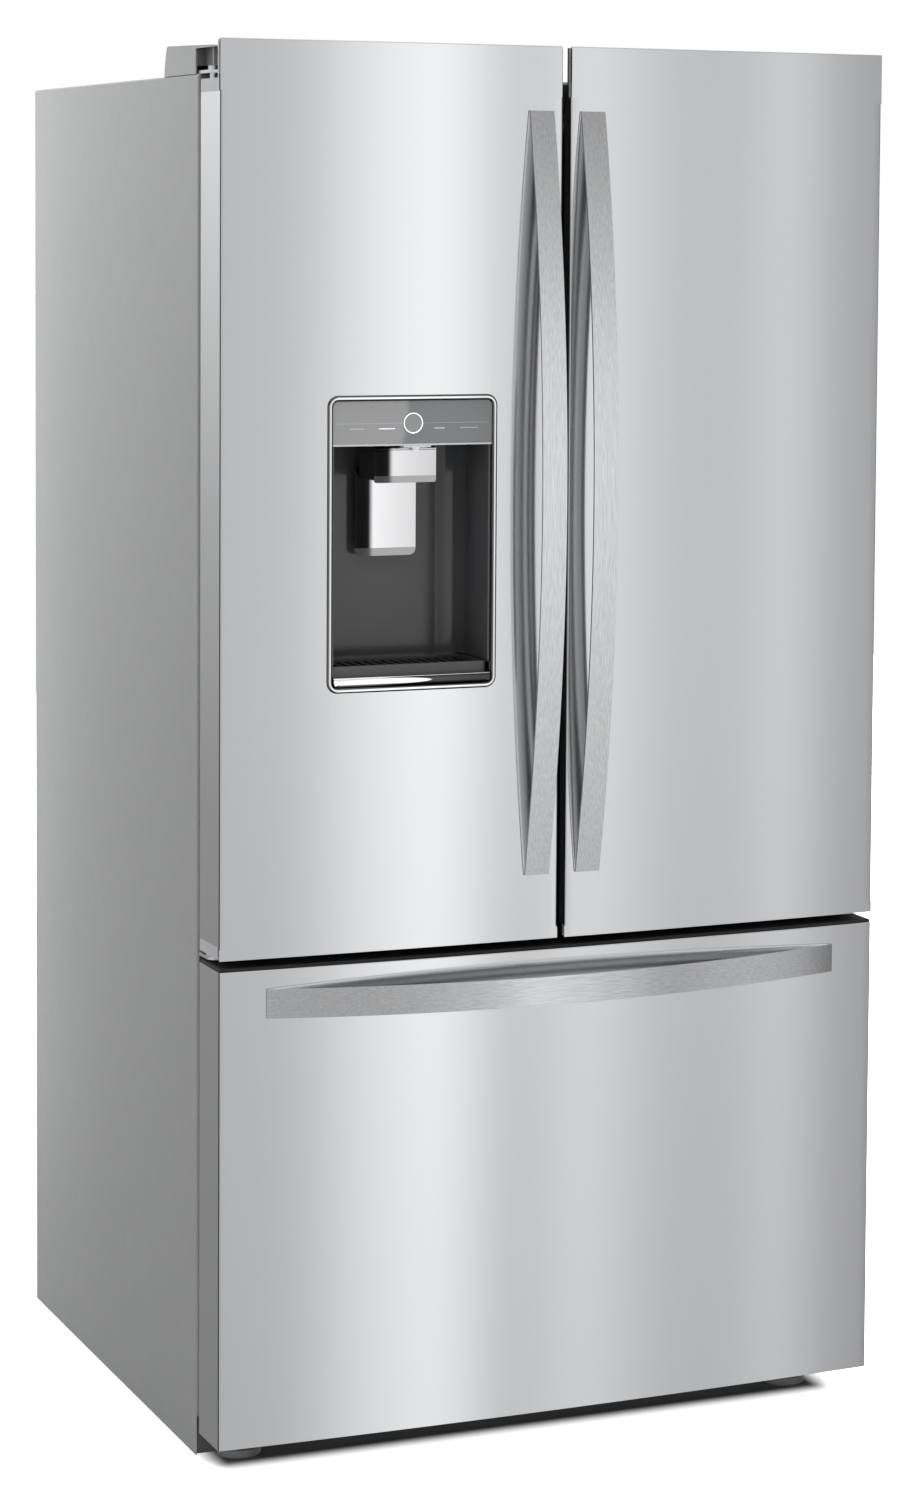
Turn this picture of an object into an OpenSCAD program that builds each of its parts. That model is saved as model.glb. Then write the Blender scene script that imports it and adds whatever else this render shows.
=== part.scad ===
// French door refrigerator with a bottom freezer drawer and a dispenser in the left door.
// Frame: X to the right, Y to the back, Z up. The origin is on the floor, at the middle of the
// bounding box. Every node is drawn where it sits with both doors and the drawer closed.

/* [Cabinet] */
// Width over the side panels
cabinet_width = 905; // [890:1:915]
// Height of the top panel above the floor
cabinet_top = 1740; // [1735:1:1745]
// Height of the lower edge of the side panels
cabinet_bottom = 12; // [10:1:16]
// Depth from the front flange to the rear panel
cabinet_depth = 730; // [720:1:745]

/* [Doors and drawer] */
// Height of the top edge of the door fronts
door_top = 1781; // [1779:1:1784]
// Height of the bottom edge of the door fronts
door_bottom = 655; // [654:0.5:656]
// Gap between the two doors
door_gap = 10; // [8:1:12]
// Thickness of a door at its outer edge, without the gasket
door_thickness = 75.7; // [74:0.1:78]
// How far the fronts bow out at the middle of the appliance
front_bow = 10; // [8:0.5:12]
// Height of the top edge of the drawer front
drawer_top = 645; // [643:1:646]
// Height of the bottom edge of the drawer front
drawer_bottom = 44; // [42:1:48]

/* [Handles] */
// Width of a handle bar's flat face
handle_width = 33; // [30:1:36]
// Thickness of a handle bar
handle_thickness = 10; // [8:1:11]
// Reach of a handle at its middle, from the front to its face
handle_reach = 52; // [48:1:56]
// Reach of a handle at its ends
handle_end_reach = 3; // [2.5:0.5:5]
// Length of a door handle
door_handle_length = 962; // [900:1:980]
// Length of the drawer handle
drawer_handle_length = 784; // [740:1:800]

/* [Dispenser] */
// Width over the bezel
bezel_width = 224; // [218:1:226]
// Height over the bezel
bezel_height = 368; // [364:1:372]
// Middle of the dispenser, from the middle of the appliance
dispenser_x = -204; // [-208:1:-202]
// Height of the bezel's lower edge
bezel_bottom = 979; // [976:1:982]
// Depth of the dispenser's cavity
cavity_depth = 104; // [98:1:108]

/* [Fridge compartment] */
// Heights of the left shelves
left_shelf_heights = [1195, 1365, 1525];
// Heights of the right shelves
right_shelf_heights = [1235, 1455];
// Thickness of the shelf glass
glass_thickness = 4; // [3:1:5]

/* [Hidden] */
$fn = 48;

// Frame of the cabinet
half_width = cabinet_width / 2;
sheet = 1;                       // steel sheet of the wrapper and the fronts
clearance = 0.3;                 // between a moving piece and its neighbour
gasket_thickness = 10;
gasket_width = 22;
cabinet_front = -297;
cabinet_back = cabinet_front + cabinet_depth;
rear_rib = 12;                   // pressed ribs that hold the cabinet off a wall
cover_top = 1778;                // top of the hinge covers at their back
cover_front = 1773;              // top of the hinge covers at the door
hinge_plate_back = -170;         // rear edge of the top hinges' plates

// Liners and the compartments that they line
liner = 3;
opening_half = 400;              // half width of both compartments
fridge_floor = 690;
fridge_ceiling = 1695;
fridge_back = 365;
freezer_floor = 100;
freezer_ceiling = 612;
freezer_step_back = 150;         // back of the freezer below its step
freezer_step = 350;              // height of the step over the machine compartment
machine_front = 200;
machine_top = 335;
base_top = 52;
base_sheet = 1.2;

// Fronts: an arc that runs across both doors and the drawer
door_back = cabinet_front - gasket_thickness - clearance;
front_edge = door_back - door_thickness;
front_middle = front_edge - front_bow;
bow_radius = (half_width * half_width + front_bow * front_bow) / (2 * front_bow);
bow_centre = front_middle + bow_radius;
bow_step = 24;                   // width of one flat of the bow
half_gap = door_gap / 2;
cap = 16;                        // height of the door's end caps
cap_top = 1733;                  // top of the door's upper end cap, below the hinge
lip = 4;                         // hemmed lip of the fronts
gasket_inset = 22;               // from a door's edge to its gasket
dyke_depth = 45;                 // how far the inner door reaches into the cabinet
dyke_wall = 18;
dyke_bottom = 704;
dyke_top = 1686;
left_dyke = [-390, -54];         // X span of the frame inside each door
right_dyke = [54, 390];
drawer_dyke_half = opening_half - 26;
drawer_dyke_depth = 24;
drawer_cap = 14;                 // height of the drawer's upper end cap
gasket_drop = 12;                // from a door's ends to its gasket
door_shell = 2.5;                // formed plastic sheet of the inner doors

// X span of the left door
left_x0 = -half_width;
left_x1 = -half_gap;

// Handles
bar_steps = 24;                  // flats of half a bowed bar
handle_from_edge = 30;           // from a door's edge to the middle of its handle
door_handle_bottom = 738;
drawer_handle_height = handle_width + 3;
drawer_handle_drop = 28;         // from the drawer's top edge to its handle

// Door hinges
hinge_x = half_width - 11;
hinge_y = door_back - 17.7;
pin_radius = 5;
pin_fit = 0.08;
plate = 4;

// Flip mullion, folded back at rest
mullion_x = -38;
mullion_y = cabinet_front + 10.3;
mullion_width = 64;
mullion_thickness = 20;
mullion_bottom = 700;
mullion_top = 1684;
mullion_pin = 2.5;

// Dispenser
bezel_top = bezel_bottom + bezel_height;
bezel_rim = 7;
bezel_corner = 14;
bezel_proud = 3;
dispenser_front = front_at(dispenser_x);
panel_bottom = 1284;
panel_top = bezel_top - bezel_rim;
cavity_half = bezel_width / 2 - bezel_rim - 1;
cavity_floor = bezel_bottom + 33;
cavity_back = dispenser_front + cavity_depth;
cavity_curve = 32;               // radius of the cavity's two rear corners
housing_half = bezel_width / 2 - 0.5;
housing_front = front_edge + 10;
housing_wall = 3;
paddle_half = 41;
paddle_x = dispenser_x - 3;      // middle of the chute and of the two paddles
ice_paddle_bottom = 1140;
chute_bottom = 1240;
chute_front = dispenser_front + 26;
chute_back = dispenser_front + 74;
water_axis = [dispenser_front + 20, 1279];
ice_axis = [dispenser_front + 88, 1246];
paddle_pin = 1.6;
duct_half = 30;                  // duct that brings the ice from the bin to the chute
duct_front = chute_front + 6;
duct_top = 1404;
step_bottom = 950;               // step of the inner door behind the dispenser
step_top = 1352;
ice_bin_top = 1620;
ring_height = 1312;
ring_radius = 13;

// Drawer slides: a rail on the cabinet, a rail on the drawer and a middle rail between them
slide_z = 322;
slide_front = -286;
slide_back = 146;

// Shelves, crispers and bins
shelf_front = -150;
shelf_back = 335;
shelf_frame = 16;
bin_wall = 2.5;
crisper_front = -148;
crisper_bottom = 833;
crisper_top = 992;
ledge_top = 1006;                // ledges that carry the crispers' cover
cover_height = 1024;             // top of the glass over the crispers
low_bin = [726, 856];            // Z span of the left door's lower bin
right_bin_heights = [726, 990, 1230, 1440];
right_bin_height = 120;

// Baskets of the freezer
upper_basket_front = -262;
upper_basket_back = 280;
upper_basket_bottom = 380;
upper_basket_top = 484;

// Passages through the machine compartment's cover
cord = [60, 100];                // X and Z
water_inlet = [400, 110];

// Wheels and feet
wheel_radius = 22;
wheel_width = 32;
wheel_x = 350;
axle_y = 372;
axle_radius = 4;
foot_x = 388;
foot_y = -272;
foot_radius = 28;
foot_height = 12;

// Fans
condenser_fan_centre = [-24, 318, 175];
condenser_fan_radius = 70;
evaporator_fan_centre = [0, 322, 545];
evaporator_fan_radius = 46;

module box(x0, x1, y0, y1, z0, z1) translate([x0, y0, z0]) cube([x1 - x0, y1 - y0, z1 - z0]);

// A thing and its mirror image on the other side of the appliance
module both_sides() {
    children();
    mirror([1, 0, 0]) children();
}

// Y of the bowed fronts at a given X
function front_at(x) = bow_centre - sqrt(bow_radius * bow_radius - x * x);

// Points along the bow from x0 to x1, set back by inset
function bow_points(x0, x1, inset) =
    let (steps = ceil((x1 - x0) / bow_step))
    [for (i = [0 : steps]) let (x = x0 + (x1 - x0) * i / steps) [x, front_at(x) + inset]];

// A block whose front follows the bow of the fronts, set back by inset
module bowed(x0, x1, z0, z1, inset, back) {
    translate([0, 0, z0]) linear_extrude(z1 - z0)
        polygon(concat(bow_points(x0, x1, inset), [[x1, back], [x0, back]]));
}

// An upright outline with round corners, in X and Z, drawn from y0 to y1
module rounded_panel(x0, x1, z0, z1, y0, y1, corner) {
    translate([0, y1, 0]) rotate([90, 0, 0]) linear_extrude(y1 - y0)
        rounded_outline(x0, x1, z0, z1, corner);
}

module rounded_outline(x0, x1, y0, y1, corner) {
    union() {
        translate([x0 + corner, y0]) square([x1 - x0 - 2 * corner, y1 - y0]);
        translate([x0, y0 + corner]) square([x1 - x0, y1 - y0 - 2 * corner]);
        for (x = [x0 + corner, x1 - corner], y = [y0 + corner, y1 - corner])
            translate([x, y]) circle(r = corner);
    }
}

// A box that is open on top, with walls and floor of the given thickness
module tub(x0, x1, y0, y1, z0, z1, wall) {
    difference() {
        box(x0, x1, y0, y1, z0, z1);
        box(x0 + wall, x1 - wall, y0 + wall, y1 - wall, z0 + wall, z1 + 1);
    }
}

module rod_x(x0, x1, y, z, r) translate([x0, y, z]) rotate([0, 90, 0]) cylinder(r = r, h = x1 - x0);
module rod_y(y0, y1, x, z, r) translate([x, y1, z]) rotate([90, 0, 0]) cylinder(r = r, h = y1 - y0);
module rod_z(z0, z1, x, y, r) translate([x, y, z0]) cylinder(r = r, h = z1 - z0);

// ---- Cabinet -------------------------------------------------------------------------------

hinge_screws = [for (dy = [0, 45, 90], dx = [0, -30]) if (dy != 45 || dx == 0) [hinge_x - 12 + dx, -275 + dy]];

module cabinet_wrapper() {
    color("darkgray") difference() {
        box(-half_width, half_width, cabinet_front, cabinet_back, cabinet_bottom, cabinet_top);
        box(-half_width + sheet, half_width - sheet, cabinet_front + sheet, cabinet_back + 1,
            cabinet_bottom - 1, cabinet_top - sheet);
        box(-opening_half - liner, opening_half + liner, cabinet_front - 1, cabinet_front + sheet + 1,
            cabinet_bottom - 1, fridge_ceiling + liner);
        box(-half_width + sheet, half_width - sheet, cabinet_front - 1, cabinet_front + sheet + 1,
            cabinet_bottom - 1, base_top + 10);
        both_sides() for (p = hinge_screws) rod_z(cabinet_top - 3, cabinet_top + 1, p[0], p[1], 3);
    }
}

module rear_panel() {
    inner = half_width - sheet;
    color("silver") union() {
        box(-inner, inner, cabinet_back - 1, cabinet_back, machine_top, cabinet_top - sheet);
        for (x = [-300, -20, 260]) difference() {
            rounded_panel(x, x + 40, machine_top + 80, cabinet_top - 120, cabinet_back, cabinet_back + rear_rib, 18);
            rounded_panel(x + 1, x + 39, machine_top + 81, cabinet_top - 121, cabinet_back - 1,
                          cabinet_back + rear_rib - 1, 17);
        }
    }
}

module base_pan() {
    inner = half_width - sheet;
    color("gray") difference() {
        union() {
            box(-inner, inner, cabinet_front + 10, cabinet_back - 3, base_top - base_sheet, base_top);
            // upright wall between the machine compartment and the insulation
            box(-inner, inner, machine_front - base_sheet, machine_front, base_top, machine_top);
            box(-inner, inner, machine_front - base_sheet, cabinet_back - 1, machine_top - base_sheet, machine_top);
            // brackets of the front feet
            both_sides() box(foot_x - 24, foot_x + 24, foot_y - 14, foot_y + 60, 24, base_top);
            // forks of the rear wheels
            both_sides() for (x = [wheel_x - wheel_width / 2 - 6, wheel_x + wheel_width / 2 + 2])
                box(x, x + 4, axle_y - 18, axle_y + 18, 12, base_top);
        }
        both_sides() rod_z(20, base_top + 1, foot_x, foot_y, 5 + pin_fit);
        rod_x(-half_width, half_width, axle_y, wheel_radius, axle_radius + pin_fit);
    }
}

module machine_cover() {
    inner = half_width - sheet - 0.5;
    color("dimgray") difference() {
        box(-inner, inner, cabinet_back - 3, cabinet_back - 1, 40, machine_top - 3);
        for (x = [-380 : 24 : -60], z = [90, 190]) box(x, x + 8, cabinet_back - 5, cabinet_back + 1, z, z + 70);
        for (x = [150 : 24 : 340], z = [190]) box(x, x + 8, cabinet_back - 5, cabinet_back + 1, z, z + 70);
        // bore of the supply cord's bushing
        rod_y(cabinet_back - 5, cabinet_back + 1, cord[0], cord[1], 6);
        // notch for the water fitting
        rod_y(cabinet_back - 5, cabinet_back + 1, water_inlet[0], water_inlet[1], 17);
    }
    // snap-in bushing round the cord's bore
    color("black") difference() {
        rod_y(cabinet_back - 1, cabinet_back + 4, cord[0], cord[1], 11);
        rod_y(cabinet_back - 2, cabinet_back + 5, cord[0], cord[1], 6);
    }
}

module cabinet_foam() {
    inner = half_width - sheet;
    color("khaki") difference() {
        box(-inner, inner, cabinet_front + sheet, cabinet_back - 1, base_top, cabinet_top - sheet);
        box(-opening_half - liner, opening_half + liner, cabinet_front - 1, fridge_back + liner,
            fridge_floor - liner, fridge_ceiling + liner);
        box(-opening_half - liner, opening_half + liner, cabinet_front - 1, freezer_step_back + liner,
            freezer_floor - liner, freezer_ceiling + liner);
        box(-opening_half - liner, opening_half + liner, freezer_step_back - 10, fridge_back + liner,
            freezer_step - liner, freezer_ceiling + liner);
        box(-inner - 1, inner + 1, machine_front - base_sheet, cabinet_back + 1, base_top - 1, machine_top);
        // the centre rail, the floor rail behind the toe grille and the hinge screws
        box(-opening_half - liner, opening_half + liner, cabinet_front - 1, cabinet_front + 24,
            freezer_ceiling + liner - 1, fridge_floor - liner + 1);
        box(-inner - 1, inner + 1, cabinet_front - 1, cabinet_front + 10, base_top - 1, base_top + 10);
        both_sides() for (p = hinge_screws) rod_z(cabinet_top - 14, cabinet_top + 1, p[0], p[1], 3);
    }
}

module fridge_liner() {
    color("white") difference() {
        box(-opening_half - liner, opening_half + liner, cabinet_front, fridge_back + liner,
            fridge_floor - liner, fridge_ceiling + liner);
        box(-opening_half, opening_half, cabinet_front - 1, fridge_back, fridge_floor, fridge_ceiling);
    }
    // ledges that carry the crisper cover
    color("white") both_sides()
        box(opening_half - 7, opening_half, crisper_front + 4, shelf_back, ledge_top - 6, ledge_top);
    // striker that turns the flip mullion
    color("white") box(-24, 0, cabinet_front + 14, cabinet_front + 60, mullion_top + 3, fridge_ceiling);
}

module freezer_liner() {
    side = opening_half + liner;
    color("white") difference() {
        union() {
            box(-side, side, cabinet_front, freezer_step_back + liner, freezer_floor - liner, freezer_ceiling + liner);
            box(-side, side, freezer_step_back - 10, fridge_back + liner, freezer_step - liner, freezer_ceiling + liner);
        }
        box(-opening_half, opening_half, cabinet_front - 1, freezer_step_back, freezer_floor, freezer_ceiling);
        box(-opening_half, opening_half, freezer_step_back - 20, fridge_back, freezer_step, freezer_ceiling);
    }
    // ledges that carry the upper basket
    color("white") both_sides() box(opening_half - 18, opening_half, -260, 285, 470, 476);
}

module centre_rail() {
    side = opening_half + liner;
    low = freezer_ceiling + liner;
    high = fridge_floor - liner;
    color("gainsboro") union() {
        box(-side, side, cabinet_front, cabinet_front + 2, low, high);
        box(-side, side, cabinet_front, cabinet_front + 24, low, low + 2);
        box(-side, side, cabinet_front, cabinet_front + 24, high - 2, high);
        // lower front rail, above the toe grille
        box(-side, side, cabinet_front, cabinet_front + 1, base_top + 10, freezer_floor - liner);
    }
}

// Side profile of a hinge cover, in Y and Z: its top rises a little towards the back
module cover_profile(grow) {
    front = front_edge + 15;
    back = hinge_plate_back + 9;
    offset(r = 8) offset(delta = -8) offset(delta = grow)
        polygon([[front, cabinet_top], [front, cover_front], [back - 10, cover_top], [back - 2, cabinet_top + 14],
                 [back, cabinet_top], [back, cabinet_top - 30], [front, cabinet_top - 30]]);
}

module hinge_covers() {
    wall = 2;
    width = 116;
    pocket_floor = cabinet_top + 9.6;
    color("darkgray") both_sides() union() {
        difference() {
            translate([half_width - width, 0, 0]) rotate([90, 0, 90]) linear_extrude(width) cover_profile(0);
            translate([half_width - width + wall, 0, 0]) rotate([90, 0, 90])
                linear_extrude(width - 2 * wall) cover_profile(-wall);
            box(0, half_width + 1, front_middle, 0, cabinet_top - 40, cabinet_top);
            // pocket in the side wall, over the door
            box(half_width - wall - 1, half_width + 1, front_middle, cabinet_front + 10, cabinet_top - 1,
                cover_front - wall);
        }
        // inner wall of the pocket, and its rib
        intersection() {
            translate([half_width - width, 0, 0]) rotate([90, 0, 90]) linear_extrude(width) cover_profile(-wall / 2);
            union() {
                box(half_width - 14, half_width - 12.5, front_middle, cabinet_front + 10, pocket_floor, cover_top);
                box(half_width - 13, half_width - wall - 0.5, -348, -345.5, pocket_floor, cover_top);
            }
        }
    }
}

module top_hinge() {
    difference() {
        union() {
            box(hinge_x - 52, half_width - 3, cabinet_front, hinge_plate_back, cabinet_top, cabinet_top + plate);
            box(hinge_x - 26, half_width - 3, hinge_y, cabinet_front + 1, cabinet_top, cabinet_top + plate);
            intersection() {
                rod_z(cabinet_top, cabinet_top + plate, hinge_x - 9, hinge_y, 17);
                box(0, half_width - 3, front_middle, hinge_y + 1, cabinet_top, cabinet_top + plate);
            }
        }
        for (p = hinge_screws) rod_z(cabinet_top - 1, cabinet_top + plate + 1, p[0], p[1], 3);
    }
    rod_z(cap_top - cap + 2, cabinet_top, hinge_x, hinge_y, pin_radius);
    rod_z(cabinet_top + plate, cabinet_top + plate + 5, hinge_x, hinge_y, pin_radius + 2);
}

module centre_hinge() {
    low = door_bottom - 3 - plate;
    difference() {
        union() {
            box(hinge_x - 56, half_width - 2, cabinet_front - 3, cabinet_front, low - 18, low + plate);
            box(hinge_x - 20, half_width - 2, hinge_y, cabinet_front, low, low + plate);
            intersection() {
                rod_z(low, low + plate, hinge_x - 5, hinge_y, 15);
                box(0, half_width - 2, front_middle, hinge_y + 1, low, low + plate);
            }
        }
        for (x = [hinge_x - 46, hinge_x - 8])
            rod_y(cabinet_front - 4, cabinet_front + 1, x, low - 8, 3);
    }
    rod_z(low + plate, low + plate + 3 - clearance, hinge_x, hinge_y, pin_radius + 3);
    rod_z(low + plate, door_bottom + cap - 2, hinge_x, hinge_y, pin_radius);
}

module hinge_bolts() {
    low = door_bottom - 3 - plate;
    for (p = hinge_screws) {
        rod_z(cabinet_top - 12, cabinet_top + plate, p[0], p[1], 3);
        translate([p[0], p[1], cabinet_top + plate]) cylinder(r = 6, h = 4, $fn = 6);
    }
    for (x = [hinge_x - 46, hinge_x - 8]) {
        rod_y(cabinet_front - 3, cabinet_front, x, low - 8, 3);
        translate([x, cabinet_front - 3, low - 8]) rotate([90, 0, 0]) cylinder(r = 5.5, h = 3, $fn = 6);
    }
}

module hinge_brackets() {
    both_sides() {
        color("silver") top_hinge();
        color("silver") centre_hinge();
        color("gray") hinge_bolts();
    }
}

module toe_grille() {
    inner = half_width - sheet - 0.5;
    front = cabinet_front + 1;
    color("dimgray") difference() {
        box(-inner, inner, front, front + 8, 14, base_top + 10);
        box(-inner + 3, inner - 3, front + 3, front + 9, 17, base_top + 9);
        for (i = [-16 : 16]) for (z = [22, 34]) box(i * 20 - 7, i * 20 + 7, front - 1, front + 9, z, z + 6);
        both_sides() rod_z(10, 40, foot_x, foot_y, foot_radius + 2);
    }
}

// ---- Machine compartment and cooling --------------------------------------------------------

// Outline of the compressor's shell, turned about its axis
function shell_outline(r, low, high) = concat(
    [[0, low]], [for (a = [-90 : 15 : 0]) [r * cos(a), low + 30 + 30 * sin(a)]],
    [for (a = [0 : 15 : 90]) [r * cos(a), high - 45 + 45 * sin(a)]]);

module compressor() {
    foot = [[-76, -46], [-76, 46], [76, -46], [76, 46]];
    color("#222222") translate([-230, 315, base_top]) {
        rotate_extrude() polygon(shell_outline(78, 14, 182));
        box(-88, 88, -56, 56, 14, 18);
        // rubber grommets of the foot plate
        for (p = foot) rod_z(0, 24, p[0], p[1], 9);
        // suction and discharge pipes
        rod_z(150, 205, 30, 30, 4);
        rod_z(150, 190, -30, 30, 3);
    }
}

// Coil of the condenser between its two end plates
module condenser_coil() {
    x0 = 60;
    x1 = 280;
    rows = [90, 130, 170, 210];
    color("dimgray") union() {
        for (x = [x0 + 10 : 14 : x1 - 10]) box(x, x + 0.8, 270, 370, 72, 228);
        for (z = rows, y = [295, 345]) rod_x(x0, x1, y, z, 4);
        for (z = rows, x = [x0 - 8, x1]) box(x, x + 8, 290, 350, z - 5, z + 5);
    }
    color("dimgray") for (x = [x0 - 2, x1]) box(x, x + 2, 262, 378, base_top, 236);
}

module fan_shroud() {
    c = condenser_fan_centre;
    color("#333333") difference() {
        union() {
            difference() {
                box(c[0] + 14, c[0] + 18, 225, 411, base_top, 275);
                rod_x(c[0] + 10, c[0] + 20, c[1], c[2], condenser_fan_radius + 4);
            }
            rod_x(c[0] + 16, c[0] + 52, c[1], c[2], 26);
            for (a = [45 : 90 : 315]) translate([c[0] + 14, c[1], c[2]]) rotate([a, 0, 0])
                box(0.5, 3.5, -4, 4, 20, condenser_fan_radius + 8);
        }
        rod_x(c[0] - 30, c[0] + 30, c[1], c[2], 3 + pin_fit);
    }
}

module condenser_unit() {
    condenser_coil();
    fan_shroud();
}

// A fan on the X axis: a hub, a shaft and blades with a pitch
module fan(radius, hub, blades, depth, shaft) {
    difference() {
        union() {
            rod_x(-depth / 2, depth / 2, 0, 0, hub);
            intersection() {
                for (i = [0 : blades - 1]) rotate([i * 360 / blades, 0, 0]) translate([0, 0, hub - 3])
                    rotate([0, 0, 35]) box(-1, 1, -radius * 0.42, radius * 0.42, 0, radius);
                rod_x(-depth / 2, depth / 2, 0, 0, radius);
            }
        }
        rod_x(-depth, -depth / 2 + 3, 0, 0, hub - 6);
    }
    rod_x(-depth / 2 + 3, depth / 2 + shaft, 0, 0, 3);
}

module condenser_fan() {
    color("white") translate(condenser_fan_centre) fan(condenser_fan_radius, 20, 5, 22, 14);
}

module evaporator_fan() {
    color("white") translate(evaporator_fan_centre) rotate([0, 0, 90]) fan(evaporator_fan_radius, 14, 5, 16, 12);
}

module evaporator() {
    color("lightgray") union() {
        for (x = [-270 : 18 : 270]) box(x, x + 0.8, 322, 358, 362, 478);
        for (z = [380, 420, 460], y = [332, 350]) rod_x(-290, 290, y, z, 4);
        for (x = [-290, 288]) box(x, x + 2, 318, 362, freezer_step, 484);
    }
}

module duct_covers() {
    c = evaporator_fan_centre;
    // tower on the back wall of the fridge compartment
    color("whitesmoke") difference() {
        rounded_panel(-62, 62, 1040, 1690, fridge_back - 22, fridge_back, 14);
        box(-58, 58, fridge_back - 19, fridge_back + 1, 1044, 1686);
        for (z = [1100 : 120 : 1640], x = [-46, 14]) box(x, x + 32, fridge_back - 30, fridge_back - 10, z, z + 10);
    }
    // wall in front of the evaporator, with the fan's mouth
    color("whitesmoke") difference() {
        union() {
            box(-opening_half + clearance, opening_half - clearance, 300, 304, freezer_step + 1, freezer_ceiling - clearance);
            rod_y(304, 312, c[0], c[2], evaporator_fan_radius + 7);
            translate([c[0], 0, c[2]]) box(-60, 60, 340, 358, -22, 22);
            for (x = [-58, 52]) translate([c[0] + x, 0, c[2]]) box(0, 6, 303, 341, -6, 6);
        }
        rod_y(290, 313, c[0], c[2], evaporator_fan_radius + 3);
        rod_y(330, 350, c[0], c[2], 3 + pin_fit);
        for (x = [-340 : 40 : 320]) if (abs(x + 10) > 80) box(x, x + 24, 299, 305, 570, 578);
        for (x = [-340 : 40 : 320]) box(x, x + 24, 299, 305, 366, 376);
    }
    // guard in the fan's mouth
    color("whitesmoke") union() {
        for (a = [0, 90]) translate([c[0], 301.5, c[2]]) rotate([0, a, 0])
            box(-evaporator_fan_radius - 3.5, evaporator_fan_radius + 3.5, -1.5, 1.5, -2, 2);
        for (r = [20, 34]) difference() {
            rod_y(300, 303, c[0], c[2], r);
            rod_y(299, 304, c[0], c[2], r - 2.5);
        }
    }
}

module water_valve() {
    x = water_inlet[0];
    z = water_inlet[1];
    color("white") union() {
        box(x - 30, x + 20, 385, 424, z - 22, z + 22);
        rod_z(z + 22, z + 62, x - 12, 404, 14);
        box(x - 34, x + 36, 420, 424, z - 40, z + 30);
    }
    // compression fitting of the house's supply line
    color("gold") union() {
        translate([x, cabinet_back + 1, z]) rotate([90, 0, 0]) cylinder(r = 9, h = 9, $fn = 6);
        rod_y(cabinet_back + 1, cabinet_back + 11, x, z, 5.56);
    }
}

// ---- Inside the fridge compartment -----------------------------------------------------------

// One cantilever shelf frame; its outer side is near the wall, its inner side near the middle
module shelf_frame_unit(side, z) {
    x0 = side > 0 ? 6 : -394;
    x1 = x0 + 388;
    color("whitesmoke") difference() {
        box(x0, x1, shelf_front, shelf_back, z - shelf_frame, z);
        box(x0 + 12, x1 - 12, shelf_front + 12, shelf_back - 12, z - shelf_frame - 1, z + 1);
        box(x0 + 4, x1 - 4, shelf_front + 6, shelf_back - 4, z - glass_thickness, z + 1);
    }
    // steel arms that hook into the tracks
    color("silver") for (x = [side * 74, side * 386])
        translate([x - 1.5, 0, 0]) rotate([90, 0, 90]) linear_extrude(3)
            polygon([[shelf_back, z - shelf_frame - 46], [fridge_back - 10, z - shelf_frame - 46],
                     [fridge_back - 10, z], [shelf_back, z], [shelf_back, z - shelf_frame],
                     [shelf_front + 60, z - shelf_frame], [shelf_front + 60, z - shelf_frame - 12]]);
}

module shelf_frames() {
    // slotted tracks on the back wall
    color("silver") for (x = [-386, -74, 74, 386]) difference() {
        box(x - 7, x + 7, fridge_back - 10, fridge_back, 1030, 1670);
        for (z = [1050 : 40 : 1650]) box(x - 2, x + 2, fridge_back - 11, fridge_back - 2, z, z + 20);
    }
    for (z = left_shelf_heights) shelf_frame_unit(-1, z);
    for (z = right_shelf_heights) shelf_frame_unit(1, z);
    // frame over the crispers
    color("whitesmoke") difference() {
        box(-opening_half + 1, opening_half - 1, shelf_front, shelf_back, ledge_top, cover_height);
        box(-opening_half + 14, opening_half - 14, shelf_front + 12, shelf_back - 12, ledge_top - 6,
            cover_height + 6);
        box(-opening_half + 8, opening_half - 8, shelf_front + 6, shelf_back - 4, cover_height - glass_thickness, cover_height + 6);
    }
    // upright that parts the two crispers, and the panel under them
    color("whitesmoke") union() {
        box(-3, 3, crisper_front + 6, shelf_back, crisper_bottom - 2, ledge_top);
        box(-opening_half + clearance, opening_half - clearance, crisper_front + 6, shelf_back, crisper_bottom - 8,
            crisper_bottom - 2);
    }
}

module shelf_glass() {
    color("lightcyan", 0.5) union() {
        for (z = left_shelf_heights)
            box(-394 + 4.2, -6 - 4.2, shelf_front + 6.2, shelf_back - 4.2, z - glass_thickness, z);
        for (z = right_shelf_heights)
            box(6 + 4.2, 394 - 4.2, shelf_front + 6.2, shelf_back - 4.2, z - glass_thickness, z);
        box(-opening_half + 8.2, opening_half - 8.2, shelf_front + 6.2, shelf_back - 4.2, cover_height - glass_thickness,
            cover_height);
    }
}

// A crisper: a clear tub with a pull along its front
module crisper(x0, x1, z0, z1) {
    difference() {
        union() {
            tub(x0, x1, crisper_front, 320, z0, z1, bin_wall);
            box(x0, x1, crisper_front - 6, crisper_front + 1, z1 - 26, z1);
        }
        box(x0 + 30, x1 - 30, crisper_front - 7, crisper_front - 2, z1 - 27, z1 - 14);
    }
}

module left_crisper() color("lightblue", 0.5) crisper(-396, -5, crisper_bottom, crisper_top);
module right_crisper() color("lightblue", 0.5) crisper(5, 396, crisper_bottom, crisper_top);
module deli_drawer() color("lightblue", 0.5) crisper(-396, 396, fridge_floor + 2, crisper_bottom - 15);

// ---- Freezer slides, feet and wheels ----------------------------------------------------------

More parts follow.
